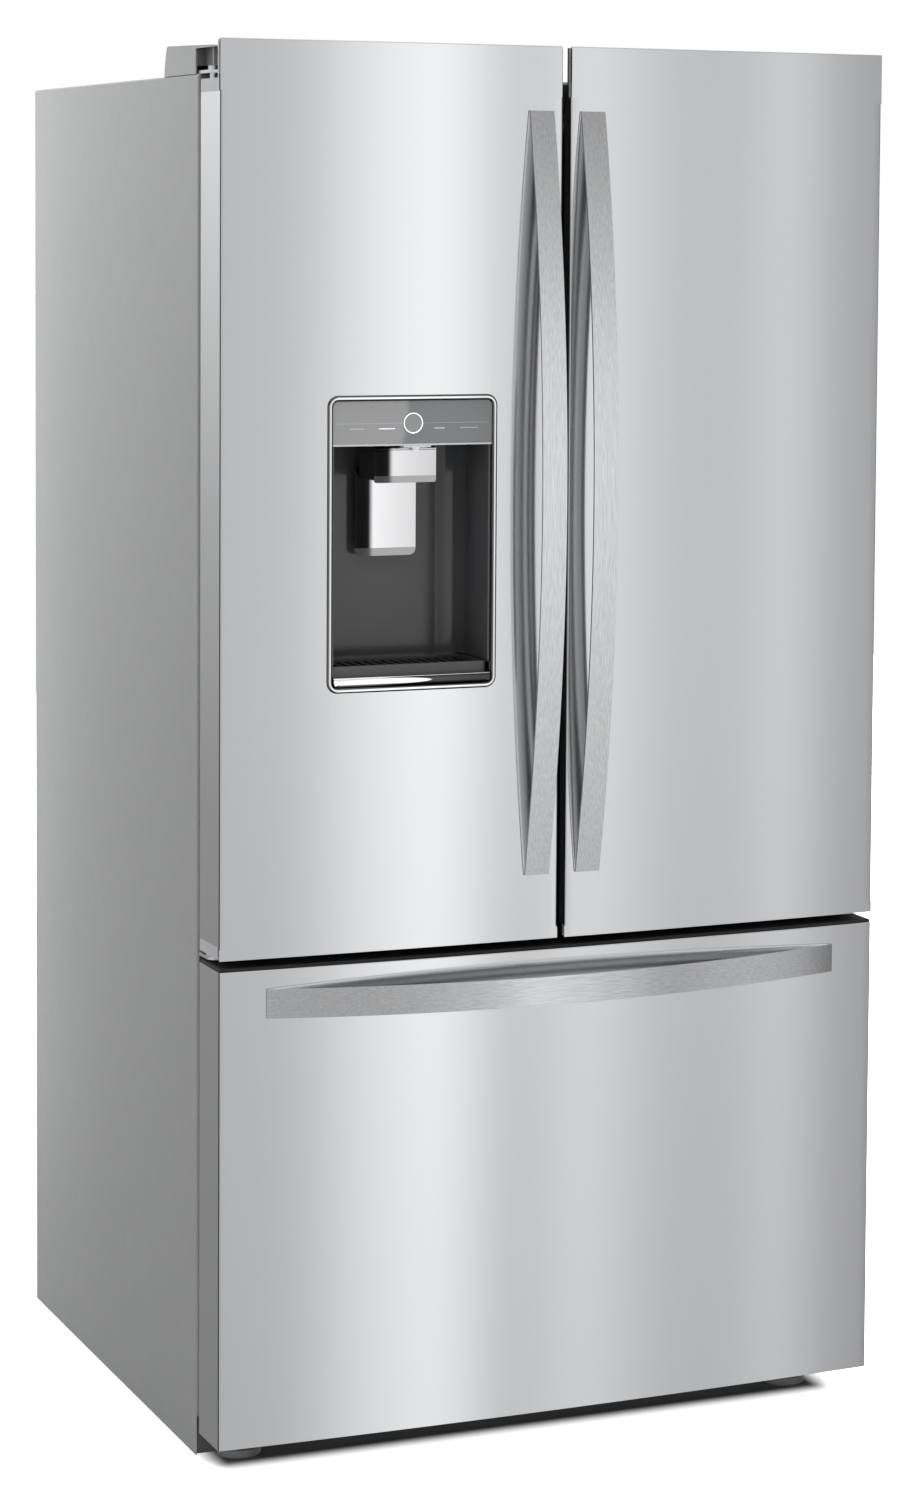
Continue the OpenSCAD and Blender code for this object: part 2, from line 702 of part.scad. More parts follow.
// Cross-section of the three rails of a slide, in X and Z from the wall, right-hand side
module slide_rail(kind, y0, y1) {
    wall_x = opening_half;
    if (kind == "cabinet") difference() {
        box(wall_x - 14, wall_x, y0, y1, slide_z - 23, slide_z + 23);
        box(wall_x - 15, wall_x - 2, y0 - 1, y1 + 1, slide_z - 20, slide_z + 20);
    }
    if (kind == "middle") difference() {
        box(wall_x - 14, wall_x - 3, y0, y1, slide_z - 19, slide_z + 19);
        box(wall_x - 15, wall_x - 5, y0 - 1, y1 + 1, slide_z - 16, slide_z + 16);
    }
    if (kind == "drawer") box(wall_x - 20, wall_x - 6, y0, y1, slide_z - 15, slide_z + 15);
}

module cabinet_slides() color("silver") both_sides() slide_rail("cabinet", slide_front + 2, slide_back);
module middle_slides() color("silver") both_sides() slide_rail("middle", slide_front + 2, slide_back - 2);

module foot() {
    rod_z(0, foot_height, foot_x, foot_y, foot_radius);
    rod_z(foot_height, base_top - 6, foot_x, foot_y, 5);
    translate([foot_x, foot_y, foot_height]) cylinder(r = 9, h = 8, $fn = 6);
}

module left_foot() color("dimgray") mirror([1, 0, 0]) foot();
module right_foot() color("dimgray") foot();

module rear_rollers() {
    color("black") difference() {
        both_sides() rod_x(wheel_x - wheel_width / 2, wheel_x + wheel_width / 2, axle_y, wheel_radius, wheel_radius);
        both_sides() for (x = [wheel_x - wheel_width / 2 - 1, wheel_x + wheel_width / 2 - 3]) difference() {
            rod_x(x, x + 4, axle_y, wheel_radius, wheel_radius - 4);
            rod_x(x - 1, x + 5, axle_y, wheel_radius, 8);
        }
    }
    color("silver") rod_x(-wheel_x - 30, wheel_x + 30, axle_y, wheel_radius, axle_radius);
}

// ---- Doors -----------------------------------------------------------------------------------

// Sheet of a front: its face, two returns along the sides, and a hemmed lip above the end cap
module front_skin(x0, x1, z0, z1, lip_from) {
    difference() {
        bowed(x0, x1, z0, z1, 0, door_back);
        bowed(x0 + sheet, x1 - sheet, z0 - 1, z1 + 1, sheet, door_back + 1);
        // the end caps show at the sides
        bowed(x0 - 1, x1 + 1, lip_from, z1 + 1, lip, door_back + 1);
        bowed(x0 - 1, x1 + 1, z0 - 1, z0 + cap, lip, door_back + 1);
    }
}

// End caps of a door, with the bores for the hinge pins
module door_caps(x0, x1, side) {
    tab = 4;
    difference() {
        union() {
            bowed(x0, x1, cap_top - cap, cap_top, sheet + lip + 1, door_back);
            // upright tab behind the lip
            intersection() {
                bowed(x0, x1, cap_top - 1, door_top - 2, lip + 3, door_back);
                difference() {
                    box(x0, x1, front_middle, front_edge + lip + tab + 4, cap_top - 1, door_top - 2);
                    bowed(x0 - 1, x1 + 1, cap_top, door_top, lip + 3 + tab, door_back);
                }
            }
            bowed(x0, x1, door_bottom + 1, door_bottom + cap, sheet + lip + 1, door_back);
        }
        rod_z(cap_top - cap - 1, cap_top + 1, side * hinge_x, hinge_y, pin_radius + pin_fit);
        rod_z(door_bottom - 1, door_bottom + cap + 1, side * hinge_x, hinge_y, pin_radius + pin_fit);
    }
}

// Raised frame of an inner door; shrink leaves out the formed sheet, for the foam inside it
module dyke(x0, x1, z0, z1, depth, wall, shrink) {
    front = door_back - door_shell - shrink;
    difference() {
        box(x0 + shrink, x1 - shrink, front, door_back + depth - shrink, z0 + shrink, z1 - shrink);
        box(x0 + wall - shrink, x1 - wall + shrink, front - 1, door_back + depth + 1,
            z0 + wall - shrink, z1 - wall + shrink);
    }
}

module door_dyke(span, shrink) dyke(span[0], span[1], dyke_bottom, dyke_top, dyke_depth, dyke_wall, shrink);

// Foam of a door, between the sheet of its front and the formed sheet of its inner side
module door_foam(x0, x1)
    bowed(x0 + sheet, x1 - sheet, door_bottom + cap, cap_top - cap, sheet, door_back - door_shell);

// Flat part of a door's formed inner sheet
module door_sheet(x0, x1)
    box(x0 + sheet, x1 - sheet, door_back - door_shell, door_back, door_bottom + cap, cap_top - cap);

// Magnetic gasket: a frame with a soft bead on its inner side
module gasket(x0, x1, z0, z1) {
    back = door_back + gasket_thickness;
    difference() {
        box(x0, x1, door_back, back, z0, z1);
        box(x0 + gasket_width, x1 - gasket_width, door_back - 1, back + 1, z0 + gasket_width, z1 - gasket_width);
        difference() {
            box(x0 - 1, x1 + 1, door_back + 3, back - 3, z0 - 1, z1 + 1);
            box(x0 + 5, x1 - 5, door_back + 2, back - 2, z0 + 5, z1 - 5);
        }
    }
}

// Outline of a bowed bar in a plane where its length runs along the first axis: its face is
// an arc that ends at end_y and reaches face at the middle. Its ends sink into the front.
module bar_outline(half, face, end_y) {
    sag = end_y - face;
    radius = (half * half + sag * sag) / (2 * sag);
    arc = [for (i = [-bar_steps : bar_steps]) let (t = half * i / bar_steps)
        [t, face + radius - sqrt(radius * radius - t * t)]];
    polygon(concat(arc, [for (i = [2 * bar_steps : -1 : 0]) [arc[i][0], arc[i][1] + handle_thickness]]));
}

// A door handle at x, on the door that spans x0 to x1
module door_handle(x, x0, x1) {
    half = door_handle_length / 2;
    middle = door_handle_bottom + half;
    difference() {
        translate([x + handle_width / 2, 0, middle]) rotate([0, -90, 0]) linear_extrude(handle_width)
            bar_outline(half, front_middle - handle_reach, front_middle - handle_end_reach);
        bowed(x0, x1, middle - half - 1, middle + half + 1, 0, door_back);
    }
}

module left_door_skin() {
    color("silver") difference() {
        front_skin(left_x0, left_x1, door_bottom, door_top, cap_top - cap);
        rounded_panel(dispenser_x - bezel_width / 2 + 4, dispenser_x + bezel_width / 2 - 4, bezel_bottom + 4,
                      bezel_top - 4, front_middle - 5, front_edge + 40, bezel_corner - 3);
    }
}

module left_door_trim() color("gray") door_caps(left_x0, left_x1, -1);

// Raised parts of the left inner door: its frame and the step behind the dispenser
module left_inner_relief(shrink) {
    door_dyke(left_dyke, shrink);
    box(left_dyke[0] + 10 + shrink, left_dyke[1] - 10 - shrink, door_back - door_shell - shrink,
        door_back + dyke_depth - shrink, step_bottom + shrink, step_top - shrink);
}

// Space of the dispenser's housing and of its ice duct in the door
module dispenser_space() {
    box(dispenser_x - housing_half, dispenser_x + housing_half, front_middle, cavity_back + housing_wall,
        bezel_bottom, bezel_top);
    box(dispenser_x - duct_half, dispenser_x + duct_half, duct_front, door_back - door_shell, bezel_top - 1, duct_top);
}

module left_door_foam() {
    color("khaki") difference() {
        union() {
            door_foam(left_x0, left_x1);
            left_inner_relief(door_shell);
        }
        dispenser_space();
    }
}

module left_door_liner() {
    lug = [[mullion_bottom - 8, mullion_bottom - 1], [mullion_top + 1, mullion_top + 8]];
    color("white") difference() {
        union() {
            door_sheet(left_x0, left_x1);
            left_inner_relief(0);
            // lugs of the flip mullion
            for (z = lug) box(left_dyke[1] - 1, mullion_x + 7, door_back, mullion_y + 6, z[0], z[1]);
        }
        left_inner_relief(door_shell);
        dispenser_space();
        // mouth of the ice duct
        box(dispenser_x - duct_half + 2, dispenser_x + duct_half - 2, door_back - door_shell - 1, door_back + 1,
            step_top + 4, duct_top - 2);
    }
    // pins of the flip mullion
    color("silver") rod_z(mullion_bottom - 1, mullion_bottom + 10, mullion_x, mullion_y, mullion_pin);
    color("silver") rod_z(mullion_top - 10, mullion_top + 1, mullion_x, mullion_y, mullion_pin);
}

module left_door_gasket()
    color("dimgray") gasket(left_x0 + gasket_inset, left_x1 - 3, door_bottom + gasket_drop, cap_top - gasket_drop);

module left_door_handle() color("silver") door_handle(-half_gap - handle_from_edge, left_x0, left_x1);

module left_door_bins() {
    x0 = left_dyke[0] + dyke_wall;
    x1 = left_dyke[1] - dyke_wall;
    color("lightblue", 0.6) {
        tub(x0, x1, door_back + 2, door_back + dyke_depth + 40, low_bin[0], low_bin[1], bin_wall);
        // shallow bin on the step behind the dispenser
        tub(x0, x1, door_back + dyke_depth, door_back + 2 * dyke_depth, 1010, 1120, bin_wall);
    }
}

module dispenser_bezel() {
    half = bezel_width / 2;
    color("silver") difference() {
        intersection() {
            rounded_panel(dispenser_x - half, dispenser_x + half, bezel_bottom, bezel_top, front_middle - 10,
                          front_edge + 10, bezel_corner);
            bowed(left_x0, left_x1, bezel_bottom, bezel_top, -bezel_proud, front_edge + 10);
        }
        rounded_panel(dispenser_x - half + bezel_rim, dispenser_x + half - bezel_rim, bezel_bottom + bezel_rim,
                      bezel_top - bezel_rim, front_middle - 11, front_edge + 11, bezel_corner - bezel_rim);
        // flange that lies on the sheet
        difference() {
            bowed(left_x0, left_x1, bezel_bottom - 1, bezel_top + 1, 0, front_edge + 11);
            rounded_panel(dispenser_x - half + 4.2, dispenser_x + half - 4.2, bezel_bottom + 4.2, bezel_top - 4.2,
                          front_middle - 11, front_edge + 11, bezel_corner - 3.2);
        }
    }
}

module control_panel() {
    half = bezel_width / 2 - bezel_rim - 0.3;
    color("dimgray") difference() {
        intersection() {
            rounded_panel(dispenser_x - half, dispenser_x + half, panel_bottom - 20, panel_top - 0.3,
                          front_middle - 2, front_edge + 4, bezel_corner - bezel_rim);
            bowed(left_x0, left_x1, panel_bottom, panel_top, 0, front_edge + 4);
        }
        rod_y(front_middle - 3, front_edge + 5, dispenser_x, ring_height, ring_radius + 0.4);
    }
}

module dispenser_housing() {
    wall = housing_wall;
    x0 = dispenser_x - housing_half;
    x1 = dispenser_x + housing_half;
    color("#444444") difference() {
        union() {
            box(x0, x1, housing_front, cavity_back + wall, bezel_bottom, bezel_top);
            bowed(dispenser_x - cavity_half - 0.6, dispenser_x + cavity_half + 0.6, cavity_floor - 2,
                  panel_bottom - clearance, wall, housing_front + 1);
        }
        // cavity with a curved back
        translate([0, 0, cavity_floor - 1]) linear_extrude(panel_bottom - cavity_floor + 1 - clearance)
            rounded_outline(dispenser_x - cavity_half + 2, dispenser_x + cavity_half - 2,
                            front_middle - 2 * cavity_curve, cavity_back, cavity_curve);
        // seat of the drip tray
        box(dispenser_x - cavity_half, dispenser_x + cavity_half, front_middle - 1, cavity_back - 12,
            bezel_bottom + bezel_rim, cavity_floor + 1);
        // space behind the control panel, and the shaft of the ice
        box(x0 + wall, x1 - wall, housing_front - 1, cavity_back, panel_bottom + wall, bezel_top - wall);
        box(dispenser_x - duct_half + 2, dispenser_x + duct_half - 2, duct_front + 2, chute_back - 2,
            panel_bottom - 5, bezel_top + 1);
    }
    ice_chute();
    paddle_pins();
}

// Chute of the ice: a box over the cavity and a duct that leads up and back to the ice bin
module ice_chute() {
    inner = duct_half - 2;
    color("#222222") difference() {
        union() {
            box(paddle_x - paddle_half + 1, paddle_x + paddle_half - 1, chute_front, chute_back,
                chute_bottom, panel_bottom - clearance);
            box(dispenser_x - duct_half, dispenser_x + duct_half, duct_front, chute_back, panel_bottom - clearance,
                duct_top);
            box(dispenser_x - duct_half, dispenser_x + duct_half, duct_front, door_back - door_shell, step_top + 2,
                duct_top);
        }
        box(dispenser_x - inner, dispenser_x + inner, duct_front + 2, chute_back - 2, chute_bottom - 1, duct_top - 2);
        box(dispenser_x - inner, dispenser_x + inner, duct_front + 2, door_back, step_top + 4, duct_top - 2);
    }
    // water nozzle in front of the paddle
    color("gray") {
        translate([dispenser_x + 8, dispenser_front + 11, panel_bottom - 7]) cylinder(r1 = 4, r2 = 6, h = 5);
        box(dispenser_x - 10, dispenser_x + 26, dispenser_front + 5, dispenser_front + 17, panel_bottom - 2.4,
            panel_bottom - clearance);
        box(dispenser_x + 4, dispenser_x + 12, dispenser_front + 16, chute_front, panel_bottom - 1.6,
            panel_bottom - clearance);
    }
}

// Pins of the two paddles and the arms that hold them
module paddle_pins() {
    reach = paddle_half - 1;
    color("silver") for (axis = [water_axis, ice_axis]) {
        from = axis == water_axis ? [axis[0] - 1, chute_front + 0.1] : [chute_back - 0.1, axis[0] + 1];
        rod_x(paddle_x - reach, paddle_x + reach, axis[0], axis[1], paddle_pin);
        for (x = [paddle_x - 20, paddle_x + 20])
            box(x - 2, x + 2, from[0], from[1], axis[1] - 1.2, axis[1] + 1.2);
    }
}

// A paddle: a knuckle round its pin and a plate that hangs from it, notched for the pin's arms
module paddle(axis, low, corner, notch) {
    y = axis[0];
    x0 = paddle_x - paddle_half;
    x1 = paddle_x + paddle_half;
    plate = [y - 2.6, y - 0.8];
    difference() {
        union() {
            rod_x(x0, x1, y, axis[1], 3);
            rounded_panel(x0, x1, low, axis[1] + 1.5, plate[0], plate[1], corner);
            // shallow rim
            difference() {
                rounded_panel(x0, x1, low, axis[1] - 1.5, plate[0], y + 1, corner);
                rounded_panel(x0 + 2, x1 - 2, low + 2, axis[1] - 3.5, plate[0] + 1, y + 2, corner - 1);
            }
        }
        rod_x(x0 - 1, x1 + 1, y, axis[1], paddle_pin + pin_fit);
        for (x = [paddle_x - 20, paddle_x + 20])
            box(x - 3.5, x + 3.5, y + notch[0], y + notch[1], axis[1] - 5, axis[1] + 5);
    }
}

module water_paddle() color("lightgray") paddle(water_axis, chute_bottom - 3, 3, [-0.5, 5]);
module ice_paddle() color("lightgray") paddle(ice_axis, ice_paddle_bottom, 9, [-5, 0.5]);

module ring_button() {
    front = dispenser_front - 0.8;
    color("gray") rod_y(front, front + 8, dispenser_x, ring_height, ring_radius);
    color("white") difference() {
        rod_y(front - 0.5, front, dispenser_x, ring_height, ring_radius);
        rod_y(front - 1, front + 1, dispenser_x, ring_height, ring_radius - 1.6);
    }
}

module drip_tray() {
    half = cavity_half - 0.6;
    low = bezel_bottom + bezel_rim + 0.5;
    color("silver") difference() {
        intersection() {
            bowed(dispenser_x - half, dispenser_x + half, low, cavity_floor, -bezel_proud - 1, cavity_back - 12.6);
            // round lower corners, inside the bezel's
            rounded_panel(dispenser_x - half, dispenser_x + half, low, cavity_floor + 20, front_middle - 20,
                          cavity_back, bezel_corner - bezel_rim);
        }
        bowed(dispenser_x - half + 2, dispenser_x + half - 2, low + 14, cavity_floor + 1, 4, cavity_back - 16);
    }
    // slotted grid in the tray
    color("dimgray") difference() {
        box(dispenser_x - half + 2, dispenser_x + half - 2, front_edge + 8, cavity_back - 16, low + 18, low + 21);
        for (x = [-84 : 12 : 84]) box(dispenser_x + x - 3, dispenser_x + x + 3, front_edge + 16, cavity_back - 24, low + 17, low + 22);
    }
}

module ice_bin() {
    x0 = left_dyke[0] + dyke_wall;
    x1 = left_dyke[1] - dyke_wall;
    y0 = door_back + 1;
    y1 = door_back + dyke_depth + 85;
    wall = 3;
    color("white") difference() {
        box(x0, x1, y0, y1, step_top, ice_bin_top);
        box(x0 + wall, x1 - wall, y0 + wall, y1 - wall, step_top + wall, ice_bin_top + 1);
        // outlet to the duct, and a grip in the wall that faces the user
        box(dispenser_x - duct_half + 2, dispenser_x + duct_half - 2, y0 - 1, y0 + wall + 1, step_top + 4, duct_top - 2);
        rounded_panel(dispenser_x - 50, dispenser_x + 50, ice_bin_top - 60, ice_bin_top - 30, y1 - wall - 1, y1 + 1, 12);
    }
}

module flip_mullion() {
    bar_x0 = mullion_x - mullion_thickness / 2;
    bar_x1 = mullion_x + mullion_thickness / 2;
    bar_y0 = mullion_y + 6;
    bar_y1 = mullion_y + 6 + mullion_width;
    color("gainsboro") difference() {
        union() {
            difference() {
                box(bar_x0, bar_x1, bar_y0, bar_y1, mullion_bottom, mullion_top);
                box(bar_x0 + 2, bar_x1 - 2, bar_y0 + 2, bar_y1 - 2, mullion_bottom + 2, mullion_top - 2);
            }
            rod_z(mullion_bottom, mullion_top, mullion_x, mullion_y, 7);
            box(mullion_x - 3, mullion_x + 3, mullion_y, bar_y0 + 2, mullion_bottom, mullion_top);
        }
        rod_z(mullion_bottom - 1, mullion_bottom + 12, mullion_x, mullion_y, mullion_pin + pin_fit);
        rod_z(mullion_top - 12, mullion_top + 1, mullion_x, mullion_y, mullion_pin + pin_fit);
    }
}

module right_door_skin() color("silver") front_skin(half_gap, half_width, door_bottom, door_top, cap_top - cap);
module right_door_trim() color("gray") door_caps(half_gap, half_width, 1);

module right_door_foam() color("khaki") {
    door_foam(half_gap, half_width);
    door_dyke(right_dyke, door_shell);
}

module right_door_liner() color("white") difference() {
    union() {
        door_sheet(half_gap, half_width);
        door_dyke(right_dyke, 0);
    }
    door_dyke(right_dyke, door_shell);
}

module right_door_gasket()
    color("dimgray") gasket(half_gap + 3, half_width - gasket_inset, door_bottom + gasket_drop, cap_top - gasket_drop);
module right_door_handle() color("silver") door_handle(half_gap + handle_from_edge, half_gap, half_width);

module right_door_bins() {
    color("lightblue", 0.6) for (z = right_bin_heights)
        tub(right_dyke[0] + dyke_wall, right_dyke[1] - dyke_wall, door_back + 2,
            door_back + dyke_depth + (z == right_bin_heights[0] ? 40 : 60), z, z + right_bin_height, bin_wall);
}

// ---- Freezer drawer ---------------------------------------------------------------------------

module drawer_skin() {
    color("silver") difference() {
        bowed(-half_width, half_width, drawer_bottom, drawer_top - 4, 0, door_back);
        bowed(-half_width + sheet, half_width - sheet, drawer_bottom - 1, drawer_top + 1, sheet, door_back + 1);
    }
}

module drawer_trim() {
    inner = half_width - sheet;
    color("dimgray") union() {
        bowed(-inner, inner, drawer_top - drawer_cap, drawer_top, sheet + 0.5, door_back);
        bowed(-inner, inner, drawer_bottom + 2, drawer_bottom + cap, sheet + 0.5, door_back);
    }
}

module drawer_dyke(shrink) dyke(-drawer_dyke_half, drawer_dyke_half, 122, 592, drawer_dyke_depth, 16, shrink);

module drawer_foam() {
    inner = half_width - sheet;
    color("khaki") {
        bowed(-inner, inner, drawer_bottom + cap, drawer_top - drawer_cap, sheet, door_back - door_shell);
        drawer_dyke(door_shell);
    }
}

module drawer_liner() {
    inner = half_width - sheet;
    color("white") difference() {
        union() {
            box(-inner, inner, door_back - door_shell, door_back, drawer_bottom + cap, drawer_top - drawer_cap);
            drawer_dyke(0);
        }
        drawer_dyke(door_shell);
    }
}

module drawer_gasket()
    color("dimgray") gasket(-half_width + gasket_inset, half_width - gasket_inset, 78, 628);

module drawer_handle() {
    half = drawer_handle_length / 2;
    top = drawer_top - drawer_handle_drop;
    color("silver") difference() {
        translate([0, 0, top - drawer_handle_height]) linear_extrude(drawer_handle_height)
            bar_outline(half, front_middle - handle_reach, front_at(half) - handle_end_reach);
        bowed(-half_width, half_width, top - drawer_handle_height - 1, top + 1, 0, door_back);
    }
}

module drawer_rails() {
    color("silver") both_sides() {
        slide_rail("drawer", slide_front + 2, slide_back - 4);
        // bracket that screws to the inner door, and the carrier of the basket
        box(opening_half - 46, opening_half - 20, door_back + drawer_dyke_depth, slide_front + 6, slide_z - 90, slide_z + 50);
        box(opening_half - 23, opening_half - 20, slide_front + 2, slide_back - 4, slide_z - 40, slide_z + 15);
        box(opening_half - 34, opening_half - 20, slide_front + 3, slide_back - 4, slide_z - 43, slide_z - 40);
    }
}

module lower_basket() {
    side = opening_half - 36;
    color("whitesmoke") difference() {
        union() {
            tub(-side, side, slide_front + 8, slide_back - 6, 112, slide_z - 34, 3);
            // rim that hangs on the carriers
            difference() {
                box(-opening_half + 24, opening_half - 24, slide_front + 8, slide_back - 6, slide_z - 39.6, slide_z - 34);
                box(-side + 2, side - 2, slide_front + 10, slide_back - 8, slide_z - 45, slide_z - 30);
            }
        }
        for (x = [-300 : 50 : 300]) box(x - 12, x + 12, slide_front + 30, slide_back - 30, 110, 116);
    }
}

module upper_basket() {
    side = opening_half - 22;
    color("whitesmoke") difference() {
        union() {
            tub(-side, side, upper_basket_front, upper_basket_back, upper_basket_bottom, upper_basket_top, 3);
            difference() {
                box(-opening_half + 3, opening_half - 3, upper_basket_front, upper_basket_back,
                    upper_basket_top - 7.5, upper_basket_top);
                box(-side + 2, side - 2, upper_basket_front + 2, upper_basket_back - 2,
                    upper_basket_top - 14, upper_basket_top + 6);
            }
        }
        for (x = [-330 : 30 : 330])
            box(x - 8, x + 8, upper_basket_front + 27, upper_basket_back - 25, upper_basket_bottom - 2,
                upper_basket_bottom + 4);
    }
}

cabinet_wrapper();
rear_panel();
base_pan();
machine_cover();
cabinet_foam();
fridge_liner();
freezer_liner();
centre_rail();
hinge_covers();
hinge_brackets();
toe_grille();
compressor();
condenser_unit();
evaporator();
duct_covers();
shelf_frames();
shelf_glass();
water_valve();
cabinet_slides();
condenser_fan();
evaporator_fan();
left_crisper();
right_crisper();
deli_drawer();
left_foot();
right_foot();
rear_rollers();
left_door_skin();
left_door_trim();
left_door_foam();
left_door_liner();
left_door_gasket();
left_door_handle();
left_door_bins();
dispenser_bezel();
control_panel();
dispenser_housing();
drip_tray();
water_paddle();
ice_paddle();
ring_button();
ice_bin();
flip_mullion();
right_door_skin();
right_door_trim();
right_door_foam();
right_door_liner();
right_door_gasket();
right_door_handle();
right_door_bins();
drawer_skin();
drawer_trim();
drawer_foam();
drawer_liner();
drawer_gasket();
drawer_handle();
drawer_rails();
lower_basket();
upper_basket();
middle_slides();
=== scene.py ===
# French door refrigerator with a bottom freezer drawer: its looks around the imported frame.
# Metres, X to the right, Y to the back, Z up, and the floor at zero.
import math

import bpy
from mathutils import Matrix, Vector


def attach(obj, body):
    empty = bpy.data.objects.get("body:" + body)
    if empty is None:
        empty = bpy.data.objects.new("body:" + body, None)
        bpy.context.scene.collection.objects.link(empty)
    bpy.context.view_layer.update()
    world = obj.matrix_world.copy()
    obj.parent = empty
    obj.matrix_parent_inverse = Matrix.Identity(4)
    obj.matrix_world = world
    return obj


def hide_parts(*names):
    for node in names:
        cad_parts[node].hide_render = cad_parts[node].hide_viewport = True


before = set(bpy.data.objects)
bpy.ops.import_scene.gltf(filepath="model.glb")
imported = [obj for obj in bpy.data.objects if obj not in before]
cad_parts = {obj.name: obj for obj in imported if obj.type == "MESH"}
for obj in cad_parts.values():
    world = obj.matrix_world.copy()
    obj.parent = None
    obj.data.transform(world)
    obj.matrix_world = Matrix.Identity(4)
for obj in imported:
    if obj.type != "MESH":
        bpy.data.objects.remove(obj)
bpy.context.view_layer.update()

# ---- Camera --------------------------------------------------
# A long lens at chest height, to the left of the appliance, levelled but for a slight tilt.
CAMERA_TURNS = ((-23.41, "Z"), (86.36, "X"), (.41, "Z"))     # degrees
bpy.ops.object.select_all(action="DESELECT")
bpy.ops.object.camera_add(location=(-1.883, -4.638, 1.570))
camera = bpy.context.object
aim = Matrix.Identity(3)
for degrees, axis in CAMERA_TURNS:
    aim = aim @ Matrix.Rotation(math.radians(degrees), 3, axis)
camera.rotation_euler = aim.to_euler()
camera.data.lens = 88.7
camera.data.shift_x, camera.data.shift_y = -.05, -.2
camera.data.dof.use_dof = False
bpy.context.scene.camera = camera
bpy.context.scene.view_settings.view_transform = "Standard"

# ---- Light and floor -----------------------------------------
# A pale studio: walls lit in soft upright bands on the side that the doors face, a wide soft
# light overhead, and a lit white floor with a painted shadow close round the foot of the appliance.


class Wire:
    """An output of a node tree; arithmetic on it adds Math nodes."""

    def __init__(self, shading, socket):
        self.shading, self.socket = shading, socket

    def maths(self, operation, *others):
        return self.shading.node("Math", {"operation": operation}, dict(enumerate((self, *others))))

    def __add__(self, other): return self.maths("ADD", other)
    def __sub__(self, other): return self.maths("SUBTRACT", other)
    def __rsub__(self, other): return self.maths("MULTIPLY_ADD", -1, other)
    def __mul__(self, other): return self.maths("MULTIPLY", other)
    def __pow__(self, other): return self.maths("POWER", other)
    def __gt__(self, other): return self.maths("GREATER_THAN", other)
    def __lt__(self, other): return self.maths("LESS_THAN", other)
    __radd__ = __add__
    __rmul__ = __mul__


class Shading:
    """The node tree of the studio or of a finish, with its one shader."""

    def __init__(self, owner, shader):
        owner.use_nodes = True
        self.owner, self.tree = owner, owner.node_tree
        self.shader = self.tree.nodes[shader]

    def feed(self, socket, value):
        """Links an output to a socket, or sets its value; a colour comes without its alpha."""
        if isinstance(value, Wire):
            self.tree.links.new(value.socket, socket)
        else:
            socket.default_value = (*value, 1) if socket.type == "RGBA" else value

    def set(self, socket, value):
        self.feed(self.shader.inputs[socket], value)
        return self

    def node(self, kind, settings=None, sockets=None, output=0):
        made = self.tree.nodes.new("ShaderNode" + kind)
        for key, value in (settings or {}).items():
            if key == "stops":
                while len(made.color_ramp.elements) < len(value):
                    made.color_ramp.elements.new(.5)
                for stop, (position, light) in zip(made.color_ramp.elements, value):
                    stop.position, stop.color = position, (light, light, light, 1)
            else:
                setattr(made, key, value)
        for key, value in (sockets or {}).items():
            self.feed(made.inputs[key], value)
        return Wire(self, made.outputs[output])

    def axes(self, vector):
        parts = self.node("SeparateXYZ", None, {0: vector}).socket.node.outputs
        return [Wire(self, part) for part in parts]

    def span(self, value, low, high, interpolation="LINEAR"):
        """0 up to the low value, 1 from the high one."""
        settings = {"interpolation_type": interpolation}
        return self.node("MapRange", settings, {0: value, 1: low, 2: high})

    def blend(self, mask, first, second, mode="MIX"):
        """A colour between two, by a mask from 0 to 1."""
        settings = {"data_type": "RGBA", "blend_type": mode}
        return self.node("Mix", settings, {0: mask, 6: first, 7: second}, 2)

    def graded(self, value, stops):
        """Light that follows a value through stops of (value, light)."""
        low, high = stops[0][0], stops[-1][0]
        stops = [((at - low) / (high - low), light) for at, light in stops]
        return self.node("ValToRGB", {"stops": stops}, {0: self.span(value, low, high)})


# light by the degrees from straight ahead of the doors towards the right
BANDS = [(-100, 1), (-48, 1), (-30, .90), (-22, .70), (-14, .60), (-2, .60), (5, .66), (8, .75),
         (10, .814), (14.5, .794), (16, .823), (17, 1.125), (18, 1.378), (19, 1.403), (20, 1.757),
         (21, 1.459), (22, .818), (23, .9), (24.5, 1.312), (27, .851), (29, .825), (30, .858),
         (31, 1.325), (32, .738), (33, .622), (34, .609), (36, .46), (43, .75), (56, .75),
         (62, .06), (110, .05)]
# and by height, from straight down (-1) to straight up (1), before and behind the appliance
FRONT_HEIGHTS = [(-1, .15), (-.75, .25), (-.60, .75), (-.32, .87), (-.21, .94), (-.13, 1), (.08, 1),
                 (.26, .68), (.38, .48), (.60, .45), (1, .30)]
REAR_HEIGHTS = [(-.35, .30), (-.2038, .36), (-.1565, .40), (-.0834, .56), (-.0146, .84),
                (.037, 1.10), (.08, 1.15)]
CEILING_FROM, CEILING_TO = .60, .68

world = bpy.data.worlds.new("studio")
bpy.context.scene.world = world
studio = Shading(world, "Background")
side, depth, height = studio.axes(studio.node("TexCoord", output="Generated"))
bands = studio.graded(side.maths("ARCTAN2", depth * -1),
                      [(math.radians(degrees), light) for degrees, light in BANDS])
walls = studio.blend(1, bands, studio.graded(height, FRONT_HEIGHTS), "MULTIPLY")
walls = studio.blend(studio.span(depth, -.1, .3), walls, studio.graded(height, REAR_HEIGHTS))
walls = studio.blend(studio.span(height, CEILING_FROM, CEILING_TO), walls, (1.2, 1.2, 1.2))
studio.set("Color", studio.blend(studio.node("LightPath", output="Is Camera Ray"), walls, (1, 1, 1)))


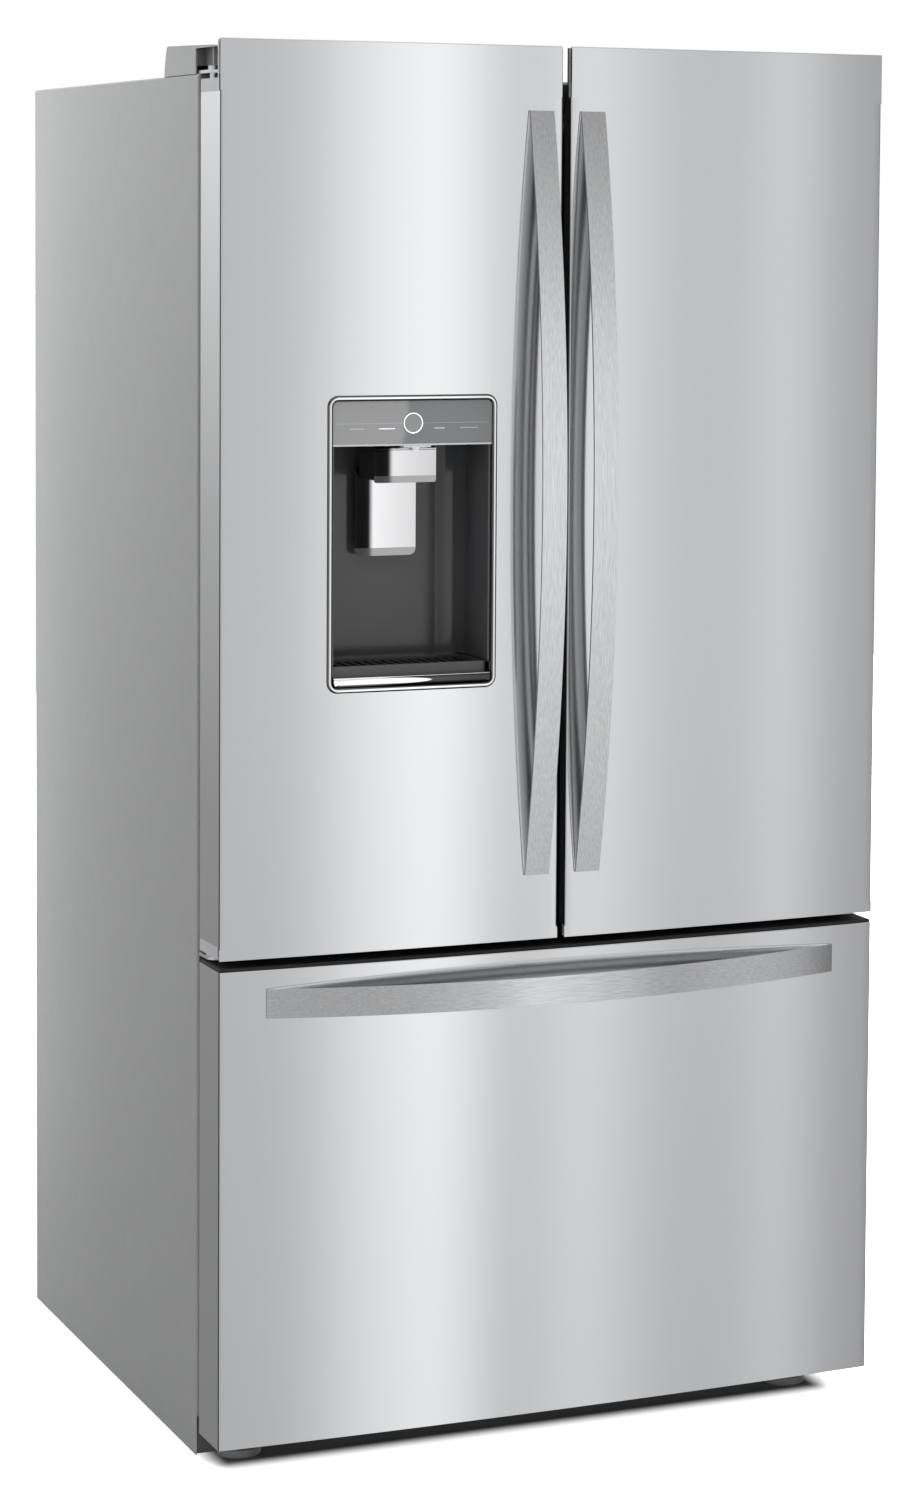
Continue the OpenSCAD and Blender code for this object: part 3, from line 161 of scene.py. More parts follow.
def studio_lamp(kind, name, watts, at, target, **settings):
    """A light that shines on the pieces but isn't seen, aimed at a point."""
    aim = (Vector(target) - Vector(at)).to_track_quat("-Z", "Y").to_euler()
    bpy.ops.object.light_add(type=kind, location=at, rotation=aim)
    lamp = bpy.context.object
    lamp.name = name
    lamp.data.energy = watts
    for key, value in settings.items():
        setattr(lamp.data, key, value)
    lamp.visible_camera = lamp.visible_glossy = False


for name, watts, at, target, width, height, spread in (
        ("overhead_light", 80, (-.6, -1.4, 3.6), (-.1, .05, .05), 4.0, 3.0, 180),
        ("rear_side_light", 12, (-.75, .75, 1.05), (-.4525, .35, 1.05), .15, 1.8, 180),
        ("side_light", 12, (-1.5, .8, 2.7), (-.4525, .1, 1.7), .8, .8, 110)):
    studio_lamp("AREA", name, watts, at, target, shape="RECTANGLE", size=width, size_y=height,
                spread=math.radians(spread))
studio_lamp("SUN", "sky_light", 2.6, (0, 0, 4), (0, 0, 0), angle=math.radians(25))


class Finish(Shading):
    """A material of the appliance, and the name of the slot that it stands for."""

    def __init__(self, name, slot, **sockets):
        super().__init__(bpy.data.materials.new(name), "Principled BSDF")
        self.slot = slot
        for socket, value in sockets.items():
            self.set(socket.replace("_", " "), value)

    def at(self, stretch=(1, 1, 1)):
        """Object coordinates in metres, stretched."""
        place = self.node("TexCoord", output="Object")
        return self.node("Mapping", None, {"Vector": place, "Scale": stretch})

    def noise(self, scale, detail=2, stretch=(1, 1, 1)):
        sockets = {"Vector": self.at(stretch), "Scale": scale, "Detail": detail}
        return self.node("TexNoise", None, sockets)

    def mottled(self, dark, light, scale, detail=2):
        """Its colour wanders between two."""
        return self.set("Base Color", self.blend(self.noise(scale, detail), dark, light))

    def hazed(self, low, swing, scale, detail=2):
        """Its roughness wanders up from a low value."""
        return self.set("Roughness", low + swing * self.noise(scale, detail))

    def relief(self, height, depth, strength):
        """Bumps from a height between 0 and 1, of a depth in metres."""
        sockets = {"Height": height, "Distance": depth, "Strength": strength}
        return self.set("Normal", self.node("Bump", None, sockets))

    def grained(self, scale, detail, depth, strength, stretch=(1, 1, 1)):
        return self.relief(self.noise(scale, detail, stretch), depth, strength)


FOOT_HALF, FOOT_MIDDLE, FOOT_SOFT = (.410, .320), .020, .040     # the shadow's size, place, soft edge
bpy.ops.mesh.primitive_plane_add(size=14)
floor = bpy.context.object
floor.name = "studio_floor"
white_floor = Finish("white_floor", None, Roughness=.9, Specular_IOR_Level=0, Emission_Strength=1)
across, deep, _ = white_floor.axes(white_floor.node("TexCoord", output="Object"))
outside = [(distance.maths("ABSOLUTE") - half).maths("MAXIMUM", 0) ** 2
           for distance, half in zip((across, deep - FOOT_MIDDLE), FOOT_HALF)]
# painted shadow: inside a soft-edged rectangle round the appliance's foot the floor's colour is dark, and
# only outside it does the floor glow white to the camera
beyond_painted_shadow = white_floor.span((outside[0] + outside[1]) ** .5, 0, FOOT_SOFT, "SMOOTHSTEP")
white_floor.set("Base Color", white_floor.blend(beyond_painted_shadow, (.25, .25, .25), (.93, .93, .93)))
white_floor.set("Emission Color", beyond_painted_shadow * white_floor.node("LightPath", output="Is Camera Ray"))
floor.data.materials.append(white_floor.owner)
floor.visible_glossy = False

# ---- Side panels and top -------------------------------------
# One sheet of steel, folded up both sides and over the top, with a turned-in flange round
# the front. It is primed and finished in a satin grey enamel with a fine orange peel.


def shaded(colour, factor):
    return tuple(min(1, c * factor) for c in colour)


def enamel(name, slot, colour, roughness=.36):
    """Satin enamel on steel: cloudy by a trace, with a fine orange peel."""
    paint = Finish(name, slot).mottled(shaded(colour, .97), shaded(colour, 1.03), 3.5, 3)
    return paint.hazed(roughness - .03, .06, 40).grained(650, 1, .00015, .25)


def alone(*pieces):
    """Selects these pieces and no others; the first one becomes active."""
    if bpy.context.object and bpy.context.object.mode == "EDIT":
        bpy.ops.object.mode_set(mode="OBJECT")
    bpy.ops.object.select_all(action="DESELECT")
    for piece in pieces:
        piece.select_set(True)
    bpy.context.view_layer.objects.active = pieces[0] if pieces else None


def added(name, scale=(1, 1, 1)):
    """The primitive that was just added, with its place, turn and scale in its mesh."""
    piece = bpy.context.object
    piece.name, piece.scale = name, scale
    bpy.ops.object.transform_apply()
    return piece


def block(name, low, high):
    """A new block between two corners."""
    alone()
    low, high = Vector(low), Vector(high)
    bpy.ops.mesh.primitive_cube_add(size=1, location=(low + high) / 2)
    return added(name, high - low)


def pick(piece, kind, test=lambda *_: True):
    """Goes into edit mode with only those faces, edges or vertices selected that pass a test of
    their place: test(middle, normal), test(end, end) or test(point)."""
    alone(piece)
    bpy.context.tool_settings.mesh_select_mode = [kind == each for each in ("VERT", "EDGE", "FACE")]
    mesh = piece.data
    for part in (mesh.vertices, mesh.edges, mesh.polygons):
        part.foreach_set("select", [False] * len(part))
    point = [v.co for v in mesh.vertices]
    if kind == "FACE":
        mesh.polygons.foreach_set("select", [bool(test(f.center, f.normal)) for f in mesh.polygons])
    elif kind == "EDGE":
        ends = [[point[end] for end in e.vertices] for e in mesh.edges]
        mesh.edges.foreach_set("select", [bool(test(*pair)) for pair in ends])
    else:
        mesh.vertices.foreach_set("select", [bool(test(p)) for p in point])
    bpy.ops.object.mode_set(mode="EDIT")


def along(axis, *places):
    """A test for edges that run along an axis (0, 1 or 2) and lie in every one of the places,
    which are (axis, value) pairs."""
    def test(a, b):
        run = b - a
        return (abs(run[axis]) > .9 * run.length
                and all(abs(a[i] - value) < 2e-4 and abs(b[i] - value) < 2e-4 for i, value in places))
    return test


def facing(axis, way):
    """A test for faces that look along an axis, forwards (1) or backwards (-1)."""
    return lambda middle, normal: way * normal[axis] > .9


def opened(piece, test):
    """Takes away the faces that pass a test."""
    pick(piece, "FACE", test)
    bpy.ops.mesh.delete(type="FACE")
    return piece


def rounded(piece, radius, segments, test):
    """Rounds the edges that pass a test."""
    pick(piece, "EDGE", test)
    bpy.ops.mesh.bevel(offset=radius, segments=segments, affect="EDGES")
    return piece


def shape(piece, kind, **settings):
    """Adds a modifier with these settings and applies it."""
    alone(piece)
    modifier = piece.modifiers.new(kind, kind)
    for key, value in settings.items():
        setattr(modifier, key, value)
    bpy.ops.object.modifier_apply(modifier=modifier.name)
    return piece


def walled(piece, thickness, offset=-1):
    return shape(piece, "SOLIDIFY", thickness=thickness, offset=offset)


def eased(piece, width, segments=2, angle=30):
    """Rounds every edge that is sharper than an angle."""
    return shape(piece, "BEVEL", width=width, segments=segments, limit_method="ANGLE",
                 angle_limit=math.radians(angle))


def cut(piece, *tools):
    """Takes the tools' volumes out of a piece."""
    for tool in tools:
        shape(piece, "BOOLEAN", operation="DIFFERENCE", solver="EXACT", object=tool)
        bpy.data.objects.remove(tool)
    return piece


def place(piece, body, finish, *nodes, angle=30):
    """Finishes a piece: its shading, smooth but for sharp edges and flat on the large faces, its
    material, its body and the CAD nodes it stands for."""
    alone(piece)
    bpy.ops.object.shade_smooth_by_angle(angle=math.radians(angle))
    shape(piece, "WEIGHTED_NORMAL", keep_sharp=True, weight=80)
    piece.data.materials.clear()
    piece.data.materials.append(finish.owner)
    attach(piece, body)
    if nodes:
        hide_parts(*nodes)
    return piece


HALF, SHEET_HALF = .4525, .4515              # half widths of the appliance, and inside its sheet
SHEET = .001                                 # thickness of the steel
CABINET_FRONT, CABINET_BACK, CABINET_TOP = -.297, .433, 1.740
WRAPPER_EDGES = (along(1, (2, CABINET_TOP)), along(2, (1, CABINET_FRONT)),
                 along(0, (1, CABINET_FRONT), (2, CABINET_TOP)))

# the fridge's and the freezer's openings, the places of the two rails, and the toe's
WRAPPER_CUTS = ((.403, .005, .687, 1.698), (.403, .005, .097, .615), (.403, .005, .610, .690),
                (.403, .005, .050, .100), (SHEET_HALF, .0022, 0, .062))

wrapper = block("side_panels_and_top", (-HALF, CABINET_FRONT, .012), (HALF, CABINET_BACK, CABINET_TOP))
opened(wrapper, lambda middle, normal: normal.z < -.9 or normal.y > .9)
rounded(wrapper, .0028, 4, lambda a, b: any(edge(a, b) for edge in WRAPPER_EDGES))
walled(wrapper, SHEET)
cuts = [block("opening", (-half, CABINET_FRONT - .01, low), (half, CABINET_FRONT + deep, high))
        for half, deep, low, high in WRAPPER_CUTS]
for opening in cuts[:2]:
    rounded(opening, .018, 6, along(1))
side_enamel = enamel("satin_grey_enamel", "side_paint", (.123, .1244, .126))
place(cut(wrapper, *cuts), "cabinet", side_enamel, "cabinet_wrapper")

# ---- Rear panel ----------------------------------------------
# Galvanised sheet, screwed to the turned edges of the side panels and the top. Three long
# ribs are pressed out of it; they stiffen it and keep the cabinet off the wall.


def upright_plate(name, x0, x1, z0, z1, y, lower=0, upper=0):
    """An upright face that looks to the front, with these radii at its lower and upper corners."""
    alone()
    bpy.ops.mesh.primitive_plane_add(size=1, location=((x0 + x1) / 2, y, (z0 + z1) / 2),
                                     rotation=(math.pi / 2, 0, 0))
    piece = added(name, (x1 - x0, z1 - z0, 1))
    for radius, z in ((lower, z0), (upper, z1)):
        if radius:
            pick(piece, "VERT", lambda point: abs(point.z - z) < 1e-5)
            bpy.ops.mesh.bevel(offset=radius, segments=8, affect="VERTICES")
    alone(piece)
    return piece


def joined(piece, *others):
    """The other pieces become part of the first one."""
    alone(piece, *others)
    bpy.ops.object.join()
    return piece


def repeated(piece, *moves):
    """A piece with copies of itself at these distances, as one piece."""
    twins = []
    for move in moves:
        twin = piece.copy()
        twin.data = piece.data.copy()
        bpy.context.scene.collection.objects.link(twin)
        alone(twin)
        bpy.ops.transform.translate(value=move)
        bpy.ops.object.transform_apply()
        twins.append(twin)
    return joined(piece, *twins)


def rod(name, radius, start, end, sides=48):
    """A round bar between two points."""
    alone()
    start, end = Vector(start), Vector(end)
    bpy.ops.mesh.primitive_cylinder_add(vertices=sides, radius=radius, depth=(end - start).length,
                                        location=(start + end) / 2,
                                        rotation=(end - start).to_track_quat("Z", "Y").to_euler())
    return added(name)


SLOT_HALF = .0005            # half width of a screw's recess


def screw_head(name, centre, outwards, radius=.0042, height=.0024):
    """A domed screw head with a cross recess, on a face that looks outwards."""
    centre, outwards = Vector(centre), Vector(outwards)
    head = rod(name, radius, centre - outwards * .0005, centre + outwards * height, 24)
    rounded(head, height * .7, 3,
            lambda *ends: min((end - centre).dot(outwards) for end in ends) > height - 1e-5)
    side = outwards.orthogonal().normalized()
    for direction in (side, outwards.cross(side)):
        across = outwards.cross(direction)
        half = Vector([abs(d) * radius * .55 + abs(a) * SLOT_HALF for d, a in zip(direction, across)])
        corners = (centre - half + outwards * height * .45, centre + half + outwards * height * 1.4)
        cut(head, block("recess", tuple(map(min, *corners)), tuple(map(max, *corners))))
    return head


galvanised_steel = Finish("galvanised_sheet", "galvanised", Metallic=1)
crystal = galvanised_steel.node("TexVoronoi", {"feature": "F1"},
                                {"Vector": galvanised_steel.at(), "Scale": 55}, "Color")
shade = galvanised_steel.node("SeparateColor", None, {"Color": crystal})
galvanised_steel.set("Base Color", galvanised_steel.blend(shade, (.485, .495, .505), (.55, .56, .57)))
galvanised_steel.set("Roughness", .38 + .07 * shade)
galvanised_steel.relief(shade * .5 + galvanised_steel.noise(300, 1) * .5, .00004, .25)
PANEL_BOTTOM = .335
RIB_BACK, RIB_DEPTH, RIB_PITCH = .445, .0124, .280
SCREW_X, SCREW_PITCH = .444, .227
panel = block("rear_panel_sheet", (-SHEET_HALF, CABINET_BACK - SHEET, PANEL_BOTTOM),
              (SHEET_HALF, CABINET_BACK, 1.739))
eased(panel, .0003, 1)
ribs = walled(upright_plate("ribs", -.300, -.260, .415, 1.620, RIB_BACK, .018, .018), RIB_DEPTH, 1)
rounded(ribs, .005, 5, lambda a, b: min(a.y, b.y) > RIB_BACK - 1e-4)
repeated(ribs, (RIB_PITCH, 0, 0), (2 * RIB_PITCH, 0, 0))
place(joined(panel, ribs), "cabinet", galvanised_steel, "rear_panel")

zinc_plate = Finish("zinc_plate", "zinc", Metallic=1).hazed(.28, .14, 90)
zinc_plate.mottled((.50, .51, .53), (.66, .665, .68), 14).grained(420, 1, .00005, .25)
screws = screw_head("rear_panel_screws", (-SCREW_X, CABINET_BACK, .36), (0, 1, 0))
repeated(screws, *[(x, 0, SCREW_PITCH * row) for x in (0, 2 * SCREW_X) for row in range(7) if x or row],
         *[(x * SCREW_X, 0, SCREW_PITCH * 6) for x in (.5, 1, 1.5)])
place(screws, "cabinet", zinc_plate)

# ---- Base pan and machine cover ------------------------------
# The pan is galvanised sheet with feet brackets and wheel forks bent down from it; its rear
# steps up over the machinery, which a louvred cover of dark moulded plastic closes.


def copied(node):
    """A new piece with the shape of a CAD node, its loose triangles merged into clean faces."""
    piece = bpy.data.objects.new(node + "_piece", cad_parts[node].data.copy())
    bpy.context.scene.collection.objects.link(piece)
    piece.data.materials.clear()
    alone(piece)
    bpy.ops.mesh.customdata_custom_splitnormals_clear()
    pick(piece, "VERT")
    bpy.ops.mesh.remove_doubles(threshold=1e-5)
    bpy.ops.mesh.dissolve_limited(angle_limit=math.radians(.05))
    bpy.ops.object.mode_set(mode="OBJECT")
    return piece


def softened(node, body, finish, radius, segments=2, angle=30):
    """A finished piece with the shape of a CAD node, all its sharp edges rounded."""
    return place(eased(copied(node), radius, segments, 35), body, finish, node, angle=angle)


def moulded(name, slot, colour, roughness, grain=350, depth=.00006, **sockets):
    """Injection-moulded plastic: even in colour, with a spark-eroded grain of this fineness."""
    plastic = Finish(name, slot, **sockets).mottled(shaded(colour, .95), shaded(colour, 1.05), 6, 3)
    return plastic.hazed(roughness - .03, .06, 55).grained(grain, 2, depth, .35)


softened("base_pan", "cabinet", galvanised_steel, .0003, 1)
dark_plastic = moulded("dark_moulded_plastic", "dark_plastic", (.030, .030, .032), .48)
softened("machine_cover", "cabinet", dark_plastic, .0006)
screws = screw_head("machine_cover_screws", (-.440, .4318, .060), (0, 1, 0))
repeated(screws, (.880, 0, 0), (0, 0, .250), (.880, 0, .250), (.440, 0, .250))
place(screws, "cabinet", zinc_plate)

# ---- Levelling feet and rear wheels --------------------------
# Each front foot is a round pad of dark plastic on a threaded zinc-plated stem with a hexagon
# to turn it by. The rear wheels are hard plastic rollers on one through axle.
FOOT_X, FOOT_Y = .388, -.272
WHEEL_X, WHEEL_Y, WHEEL_RADIUS = .350, .372, .022
WHEEL_HALF = .016            # half width of a wheel
THREAD_PITCH = .0008


def pushed(*move):
    """Extrudes what is selected."""
    bpy.ops.mesh.extrude_region_move(TRANSFORM_OT_translate={"value": move})


def sunk(piece, test, rim, *move):
    """Moves the faces that pass a test, all but a rim round them; they stay selected."""
    pick(piece, "FACE", test)
    bpy.ops.mesh.inset(thickness=rim)
    pushed(*move)
    return piece


foot_plastic = moulded("dark_grey_plastic", "foot_plastic", (.22, .222, .226), .42, 420)
stem_steel = Finish("threaded_zinc", "zinc", Metallic=1).hazed(.30, .1, 90)
_, _, up = stem_steel.axes(stem_steel.node("TexCoord", output="Object"))
ridge = up.maths("PINGPONG", THREAD_PITCH) * (1 / THREAD_PITCH)
# painted shade: the thread's roots are painted darker than its crests
stem_steel.set("Base Color", stem_steel.blend(ridge, (.30, .30, .31), (.62, .625, .64)))
stem_steel.relief(ridge, THREAD_PITCH, .6)
for side, body in ((-1, "left_foot"), (1, "right_foot")):
    x = side * FOOT_X
    pad = rod(body + "_pad", .028, (x, FOOT_Y, 0), (x, FOOT_Y, .012), 72)
    rounded(pad, .0032, 4, lambda a, b: min(a.z, b.z) > .0119 or max(a.z, b.z) < 1e-4)
    sunk(pad, lambda middle, normal: normal.z > .95 and middle.z > .0118, .010, 0, 0, -.0018)
    nut = eased(rod("hexagon", .009, (x, FOOT_Y, .0095), (x, FOOT_Y, .020), 6), .0008)
    place(joined(pad, nut), body, foot_plastic, body)
    stem = rod(body + "_stem", .005, (x, FOOT_Y, .019), (x, FOOT_Y, .046), 32)
    place(eased(stem, .0007, angle=60), body, stem_steel)

wheels = rod("rear_wheels", WHEEL_RADIUS, (-WHEEL_X - WHEEL_HALF, WHEEL_Y, WHEEL_RADIUS),
             (-WHEEL_X + WHEEL_HALF, WHEEL_Y, WHEEL_RADIUS), 64)
rounded(wheels, .0022, 4, lambda a, b: abs(a.x - b.x) < 1e-5)
for side in (-1, 1):
    sunk(wheels, lambda middle, normal: side * normal.x > .95
         and math.hypot(middle.y - WHEEL_Y, middle.z - WHEEL_RADIUS) < .001, .003, -side * .003, 0, 0)
    bpy.ops.mesh.inset(thickness=.009)
    pushed(side * .002, 0, 0)
place(repeated(wheels, (2 * WHEEL_X, 0, 0)), "rear_rollers", foot_plastic, "rear_rollers")
axle = rod("rear_axle", .004, (-.380, WHEEL_Y, WHEEL_RADIUS), (.380, WHEEL_Y, WHEEL_RADIUS), 32)
place(eased(axle, .0006, angle=60), "rear_rollers", zinc_plate)

# ---- Foam ----------------------------------------------------
# Rigid polyurethane, foamed in place between the outer sheet and the liners of the cabinet,
# the doors and the drawer. It shows only where something is taken off.
foam_cells = Finish("rigid_foam", "foam", Roughness=.92).mottled((.72, .60, .34), (.84, .75, .50), 9, 4)
cells = foam_cells.node("TexVoronoi", {"feature": "F1"}, {"Vector": foam_cells.at(), "Scale": 420})
foam_cells.relief(cells, .0006, .7)
for node in ("cabinet_foam", "left_door_foam", "right_door_foam", "drawer_foam"):
    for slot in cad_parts[node].material_slots:
        slot.material = foam_cells.owner

# ---- Liners --------------------------------------------------
# White polystyrene sheet, vacuum-formed with round corners: one box for the fridge and one for
# the freezer, which steps forward over the machinery. Ledges and the mullion's striker clip on.
LINER, LINER_HALF = .003, .400               # thickness of the sheet, half width inside
LINER_WHITE = (.83, .84, .845)
STEP = .350                  # height of the freezer's step


def cut_through(axis, value, way=1, **options):
    """Cuts the open mesh all through, square to an axis."""
    bpy.ops.mesh.select_all(action="SELECT")
    bpy.ops.mesh.bisect(plane_co=[value if i == axis else 0 for i in range(3)],
                        plane_no=[way if i == axis else 0 for i in range(3)], **options)


def ledges(name, low, high, across):
    """A ledge on each side wall of a liner."""
    return repeated(eased(block(name, low, high), .0018, 3), (across, 0, 0))


liner_white = Finish("white_liner", "liner").hazed(.2, .08, 30)
liner_white.mottled(shaded(LINER_WHITE, .97), LINER_WHITE, 2.5)
liner_white.relief(liner_white.noise(9, 1) * .85 + liner_white.noise(500, 1) * .15, .0008, .12)
lining = block("fridge_liner_sheet", (-LINER_HALF, CABINET_FRONT, .690), (LINER_HALF, .365, 1.695))
opened(lining, facing(1, -1))
rounded(lining, .015, 6, lambda a, b: abs(a.y - b.y) > .1 or min(a.y, b.y) > .364)
place(walled(lining, LINER, 1), "cabinet", liner_white, "fridge_liner")

crisper_ledges = ledges("crisper_ledges", (.392, -.144, 1.000), (.4005, .335, 1.006), -.7925)
striker = rounded(block("striker", (-.024, -.283, 1.687), (0, -.237, 1.6955)), .008, 5, along(2))
eased(striker, .0012, angle=50)
place(joined(crisper_ledges, striker), "cabinet", liner_white)
track_screws = screw_head("track_screws", (-.386, .3545, 1.100), (0, -1, 0), .0035, .002)
repeated(track_screws, *[(x, 0, z) for x in (0, .312, .460, .772) for z in (0, .260, .520) if x or z])
place(track_screws, "cabinet", zinc_plate)

lamp = rounded(block("ceiling_lamp", (-.110, -.120, 1.6865), (.110, .020, 1.6960)), .020, 8, along(2))
sunk(lamp, facing(2, -1), .006, 0, 0, .0012)
eased(lamp, .0015, 3, 40)
frosted = moulded("frosted_lens", "white_plastic", (.90, .91, .92), .45, 120, .0002, Emission_Strength=.25)
frosted.set("Emission Color", frosted.blend(frosted.noise(60), (.92, .96, 1.0), (1.0, 1.0, 1.0)))
place(lamp, "cabinet", frosted)

lining = block("freezer_liner_sheet", (-LINER_HALF, CABINET_FRONT, .100), (LINER_HALF, .150, .612))
pick(lining, "FACE")
cut_through(2, STEP)
pick(lining, "FACE", lambda middle, normal: normal.y > .9 and middle.z > STEP)
pushed(0, .215, 0)
opened(lining, facing(1, -1))
pick(lining, "EDGE")
bpy.ops.mesh.dissolve_limited(angle_limit=.01)
rounded(lining, .015, 6, lambda a, b: min(a.y, b.y) > CABINET_FRONT + .001
        or (abs(a.y - b.y) > .1 and abs(a.x - b.x) < 1e-4))
place(walled(lining, LINER, 1), "cabinet", liner_white, "freezer_liner")
basket_ledges = ledges("basket_ledges", (.382, -.260, .470), (.4005, .285, .476), -.7825)
place(basket_ledges, "cabinet", liner_white)

# ---- Centre rail ---------------------------------------------
# A folded steel channel across the front, between the two compartments, and a lower one above
# the toe grille. The gaskets' magnets hold to them; both are enamelled pale grey.
pale_enamel = enamel("pale_grey_enamel", "pale_paint", (.62, .63, .64), .30)
softened("centre_rail", "cabinet", pale_enamel, .0004)

# ---- Hinges --------------------------------------------------
# Stamped plates of zinc-plated steel, bolted on top of the cabinet and to the centre rail. The
# pins turn in the doors' end caps, and hexagon bolts hold the plates.
softened("hinge_brackets", "cabinet", zinc_plate, .0005)

# ---- Hinge covers --------------------------------------------
# Moulded covers in the grey of the side panels, clipped over the top hinges. Each has an open
# pocket in its outer wall by the door, with a rib inside; its inside is painted darker, for shade.


def tint(piece, finish, test):
    """A second finish on the faces of a finished piece that pass a test."""
    piece.data.materials.append(finish.owner)
    for face in piece.data.polygons:
        if test(face.center, face.normal):
            face.material_index = len(piece.data.materials) - 1


cover_grey = moulded("grey_cover_plastic", "grey_cover", (.13, .132, .134), .38, 380, .00005)
covers = softened("hinge_covers", "cabinet", cover_grey, .0009, 3)
# painted shade: the cover's own grey plastic, painted darker inside the pocket and on its ends
pocket_shade_grey = moulded("pocket_plastic", "grey_cover", (.070, .0705, .072), .45, 400)
tint(covers, pocket_shade_grey, lambda middle, normal: .4375 < abs(middle.x) < .4402 and middle.z < 1.772
     and middle.y < -.280)
pocket_end = block("cover_pocket_ends", (.4390, CABINET_FRONT + .0085, 1.7500),
                   (.4508, CABINET_FRONT + .0099, 1.7705))
place(repeated(pocket_end, (-.8898, 0, 0)), "cabinet", pocket_shade_grey)

# ---- Toe grille ----------------------------------------------
# A louvred strip of dark plastic that snaps in under the drawer, notched round the two feet.
softened("toe_grille", "cabinet", dark_plastic, .0006)

# ---- Compressor, condenser and fans --------------------------
# The compressor is a black enamelled steel shell on rubber grommets. Air is drawn through the
# black finned condenser by a moulded fan in a shroud, and a second fan blows through the ducts.
black_enamel = enamel("black_enamel", "dark_paint", (.022, .022, .024), .30)
shell = eased(copied("compressor"), .0006, 1, 50)
seam = rod("seam", .0795, (-.230, .315, .146), (-.230, .315, .151), 96)
rounded(seam, .0012, 3, lambda a, b: abs(a.z - b.z) < 1e-5)
place(joined(shell, seam), "cabinet", black_enamel, "compressor", angle=40)
place(copied("condenser_unit"), "cabinet", black_enamel, "condenser_unit")
fan_plastic = moulded("fan_plastic", "fan_plastic", (.62, .62, .61), .45)
for fan in ("condenser_fan", "evaporator_fan"):
    softened(fan, fan, fan_plastic, .0004, angle=40)

# ---- Evaporator ----------------------------------------------
# Aluminium tube through a pack of thin fins, between two end plates, on the freezer's rear
# step. The bare metal is dull, with a faint bloom of frost.
frosty_aluminium = Finish("mill_aluminium", "aluminium", Metallic=1)
bloom = frosty_aluminium.noise(28, 4)
frosty_aluminium.set("Base Color", frosty_aluminium.blend(bloom, (.62, .63, .64), (.86, .88, .90)))
frosty_aluminium.set("Roughness", .28 + .3 * bloom).grained(1, 2, .00004, .3, (40, 900, 900))
place(copied("evaporator"), "cabinet", frosty_aluminium, "evaporator")

# ---- Air ducts -----------------------------------------------
# White moulded covers: a tower with outlets on the fridge's rear wall, and the wall before the
# evaporator, with the fan's mouth and its guard.
white_plastic = moulded("white_moulded_plastic", "white_plastic", (.82, .825, .83), .34, 420, .00004)
softened("duct_covers", "cabinet", white_plastic, .0010)

# ---- Shelves -------------------------------------------------
# Tempered glass panes in white moulded frames. Steel arms carry them on slotted tracks that
# are screwed to the rear wall, and an upright panel parts the two crispers.
SHELVES = (1.195, 1.365, 1.525, 1.235, 1.455)
TRACKS = (.386, .074)        # the tracks' distances from the middle


def of_steel(middle, normal):
    beside_track = any(abs(abs(middle.x) - track) < .0085 for track in TRACKS)
    in_frame = middle.y < .3355 and any(height - .0165 < middle.z < height + .001 for height in SHELVES)
    return middle.z > 1.030 and beside_track and not in_frame


tint(softened("shelf_frames", "cabinet", white_plastic, .0008), zinc_plate, of_steel)
tempered = Finish("tempered_glass", "glass", IOR=1.5, Transmission_Weight=1)
tempered.hazed(.015, .04, 7, 4).mottled((.90, .965, .95), (.95, .985, .975), 3)
softened("shelf_glass", "cabinet", tempered, .0008)

# ---- Crispers and deli drawer --------------------------------
# Clear moulded tubs with round corners that slide on ledges, each with a pull along the top of
# its front and a rolled rim.
TUB_WALL, TUB_FOOT = .0025, .006             # thickness, and radius round the foot
TUB_FRONT, TUB_BACK, TUB_HALF = -.148, .320, .396
clear_plastic = Finish("clear_plastic", "clear_plastic", IOR=1.49, Transmission_Weight=.82)
clear_plastic.hazed(.05, .10, 5, 4).mottled((.84, .89, .92), (.93, .955, .97), 2).grained(14, 1, .0004, .1)


def moulded_tub(name, low, high, corner):
    """A tub that is open on top, with round upright corners and a round foot."""
    tub = rounded(opened(block(name, low, high), facing(2, 1)), corner, 6, along(2))
    rounded(tub, TUB_FOOT, 4, lambda a, b: max(a.z, b.z) < low[2] + 1e-4)
    return eased(walled(tub, TUB_WALL), .0008, angle=50)


for name, x0, x1, z0, z1 in (("left_crisper", -TUB_HALF, -.005, .833, .992),
                             ("right_crisper", .005, TUB_HALF, .833, .992),
                             ("deli_drawer", -TUB_HALF, TUB_HALF, .692, .818)):
    tub = moulded_tub(name + "_tub", (x0, TUB_FRONT, z0), (x1, TUB_BACK, z1), .012)
    pull = block(name + "_pull", (x0, TUB_FRONT - .006, z1 - .026), (x1, TUB_FRONT + .0015, z1))
    rounded(pull, .0028, 3, along(2))
    cut(pull, block("grip", (x0 + .030, -.156, z1 - .028), (x1 - .030, -.1505, z1 - .014)))
    eased(pull, .0008, angle=50)
    place(tub, name, clear_plastic, name)
    place(pull, name, white_plastic)

# ---- Water valve ---------------------------------------------
# A white solenoid valve on a bracket at the lower rear corner, with a brass compression
# fitting for the supply tube.
brass = Finish("brass", "white_plastic", Metallic=1).hazed(.18, .16, 120)
brass.mottled((.70, .50, .22), (.85, .64, .32), 25, 3).grained(1, 1, .00004, .3, (900, 60, 900))
valve = softened("water_valve", "cabinet", white_plastic, .0007)
tint(valve, brass, lambda middle, normal: middle.y > .4245)

# ---- Drawer slides -------------------------------------------
# Rolled steel rails in three parts, zinc-plated and lightly greased: one on the freezer's side
# walls, one that runs between, and one on the drawer, which also carries the lower basket.
for node, body in (("cabinet_slides", "cabinet"), ("middle_slides", "middle_slides"),
                   ("drawer_rails", "freezer_drawer")):
    softened(node, body, zinc_plate, .0006)

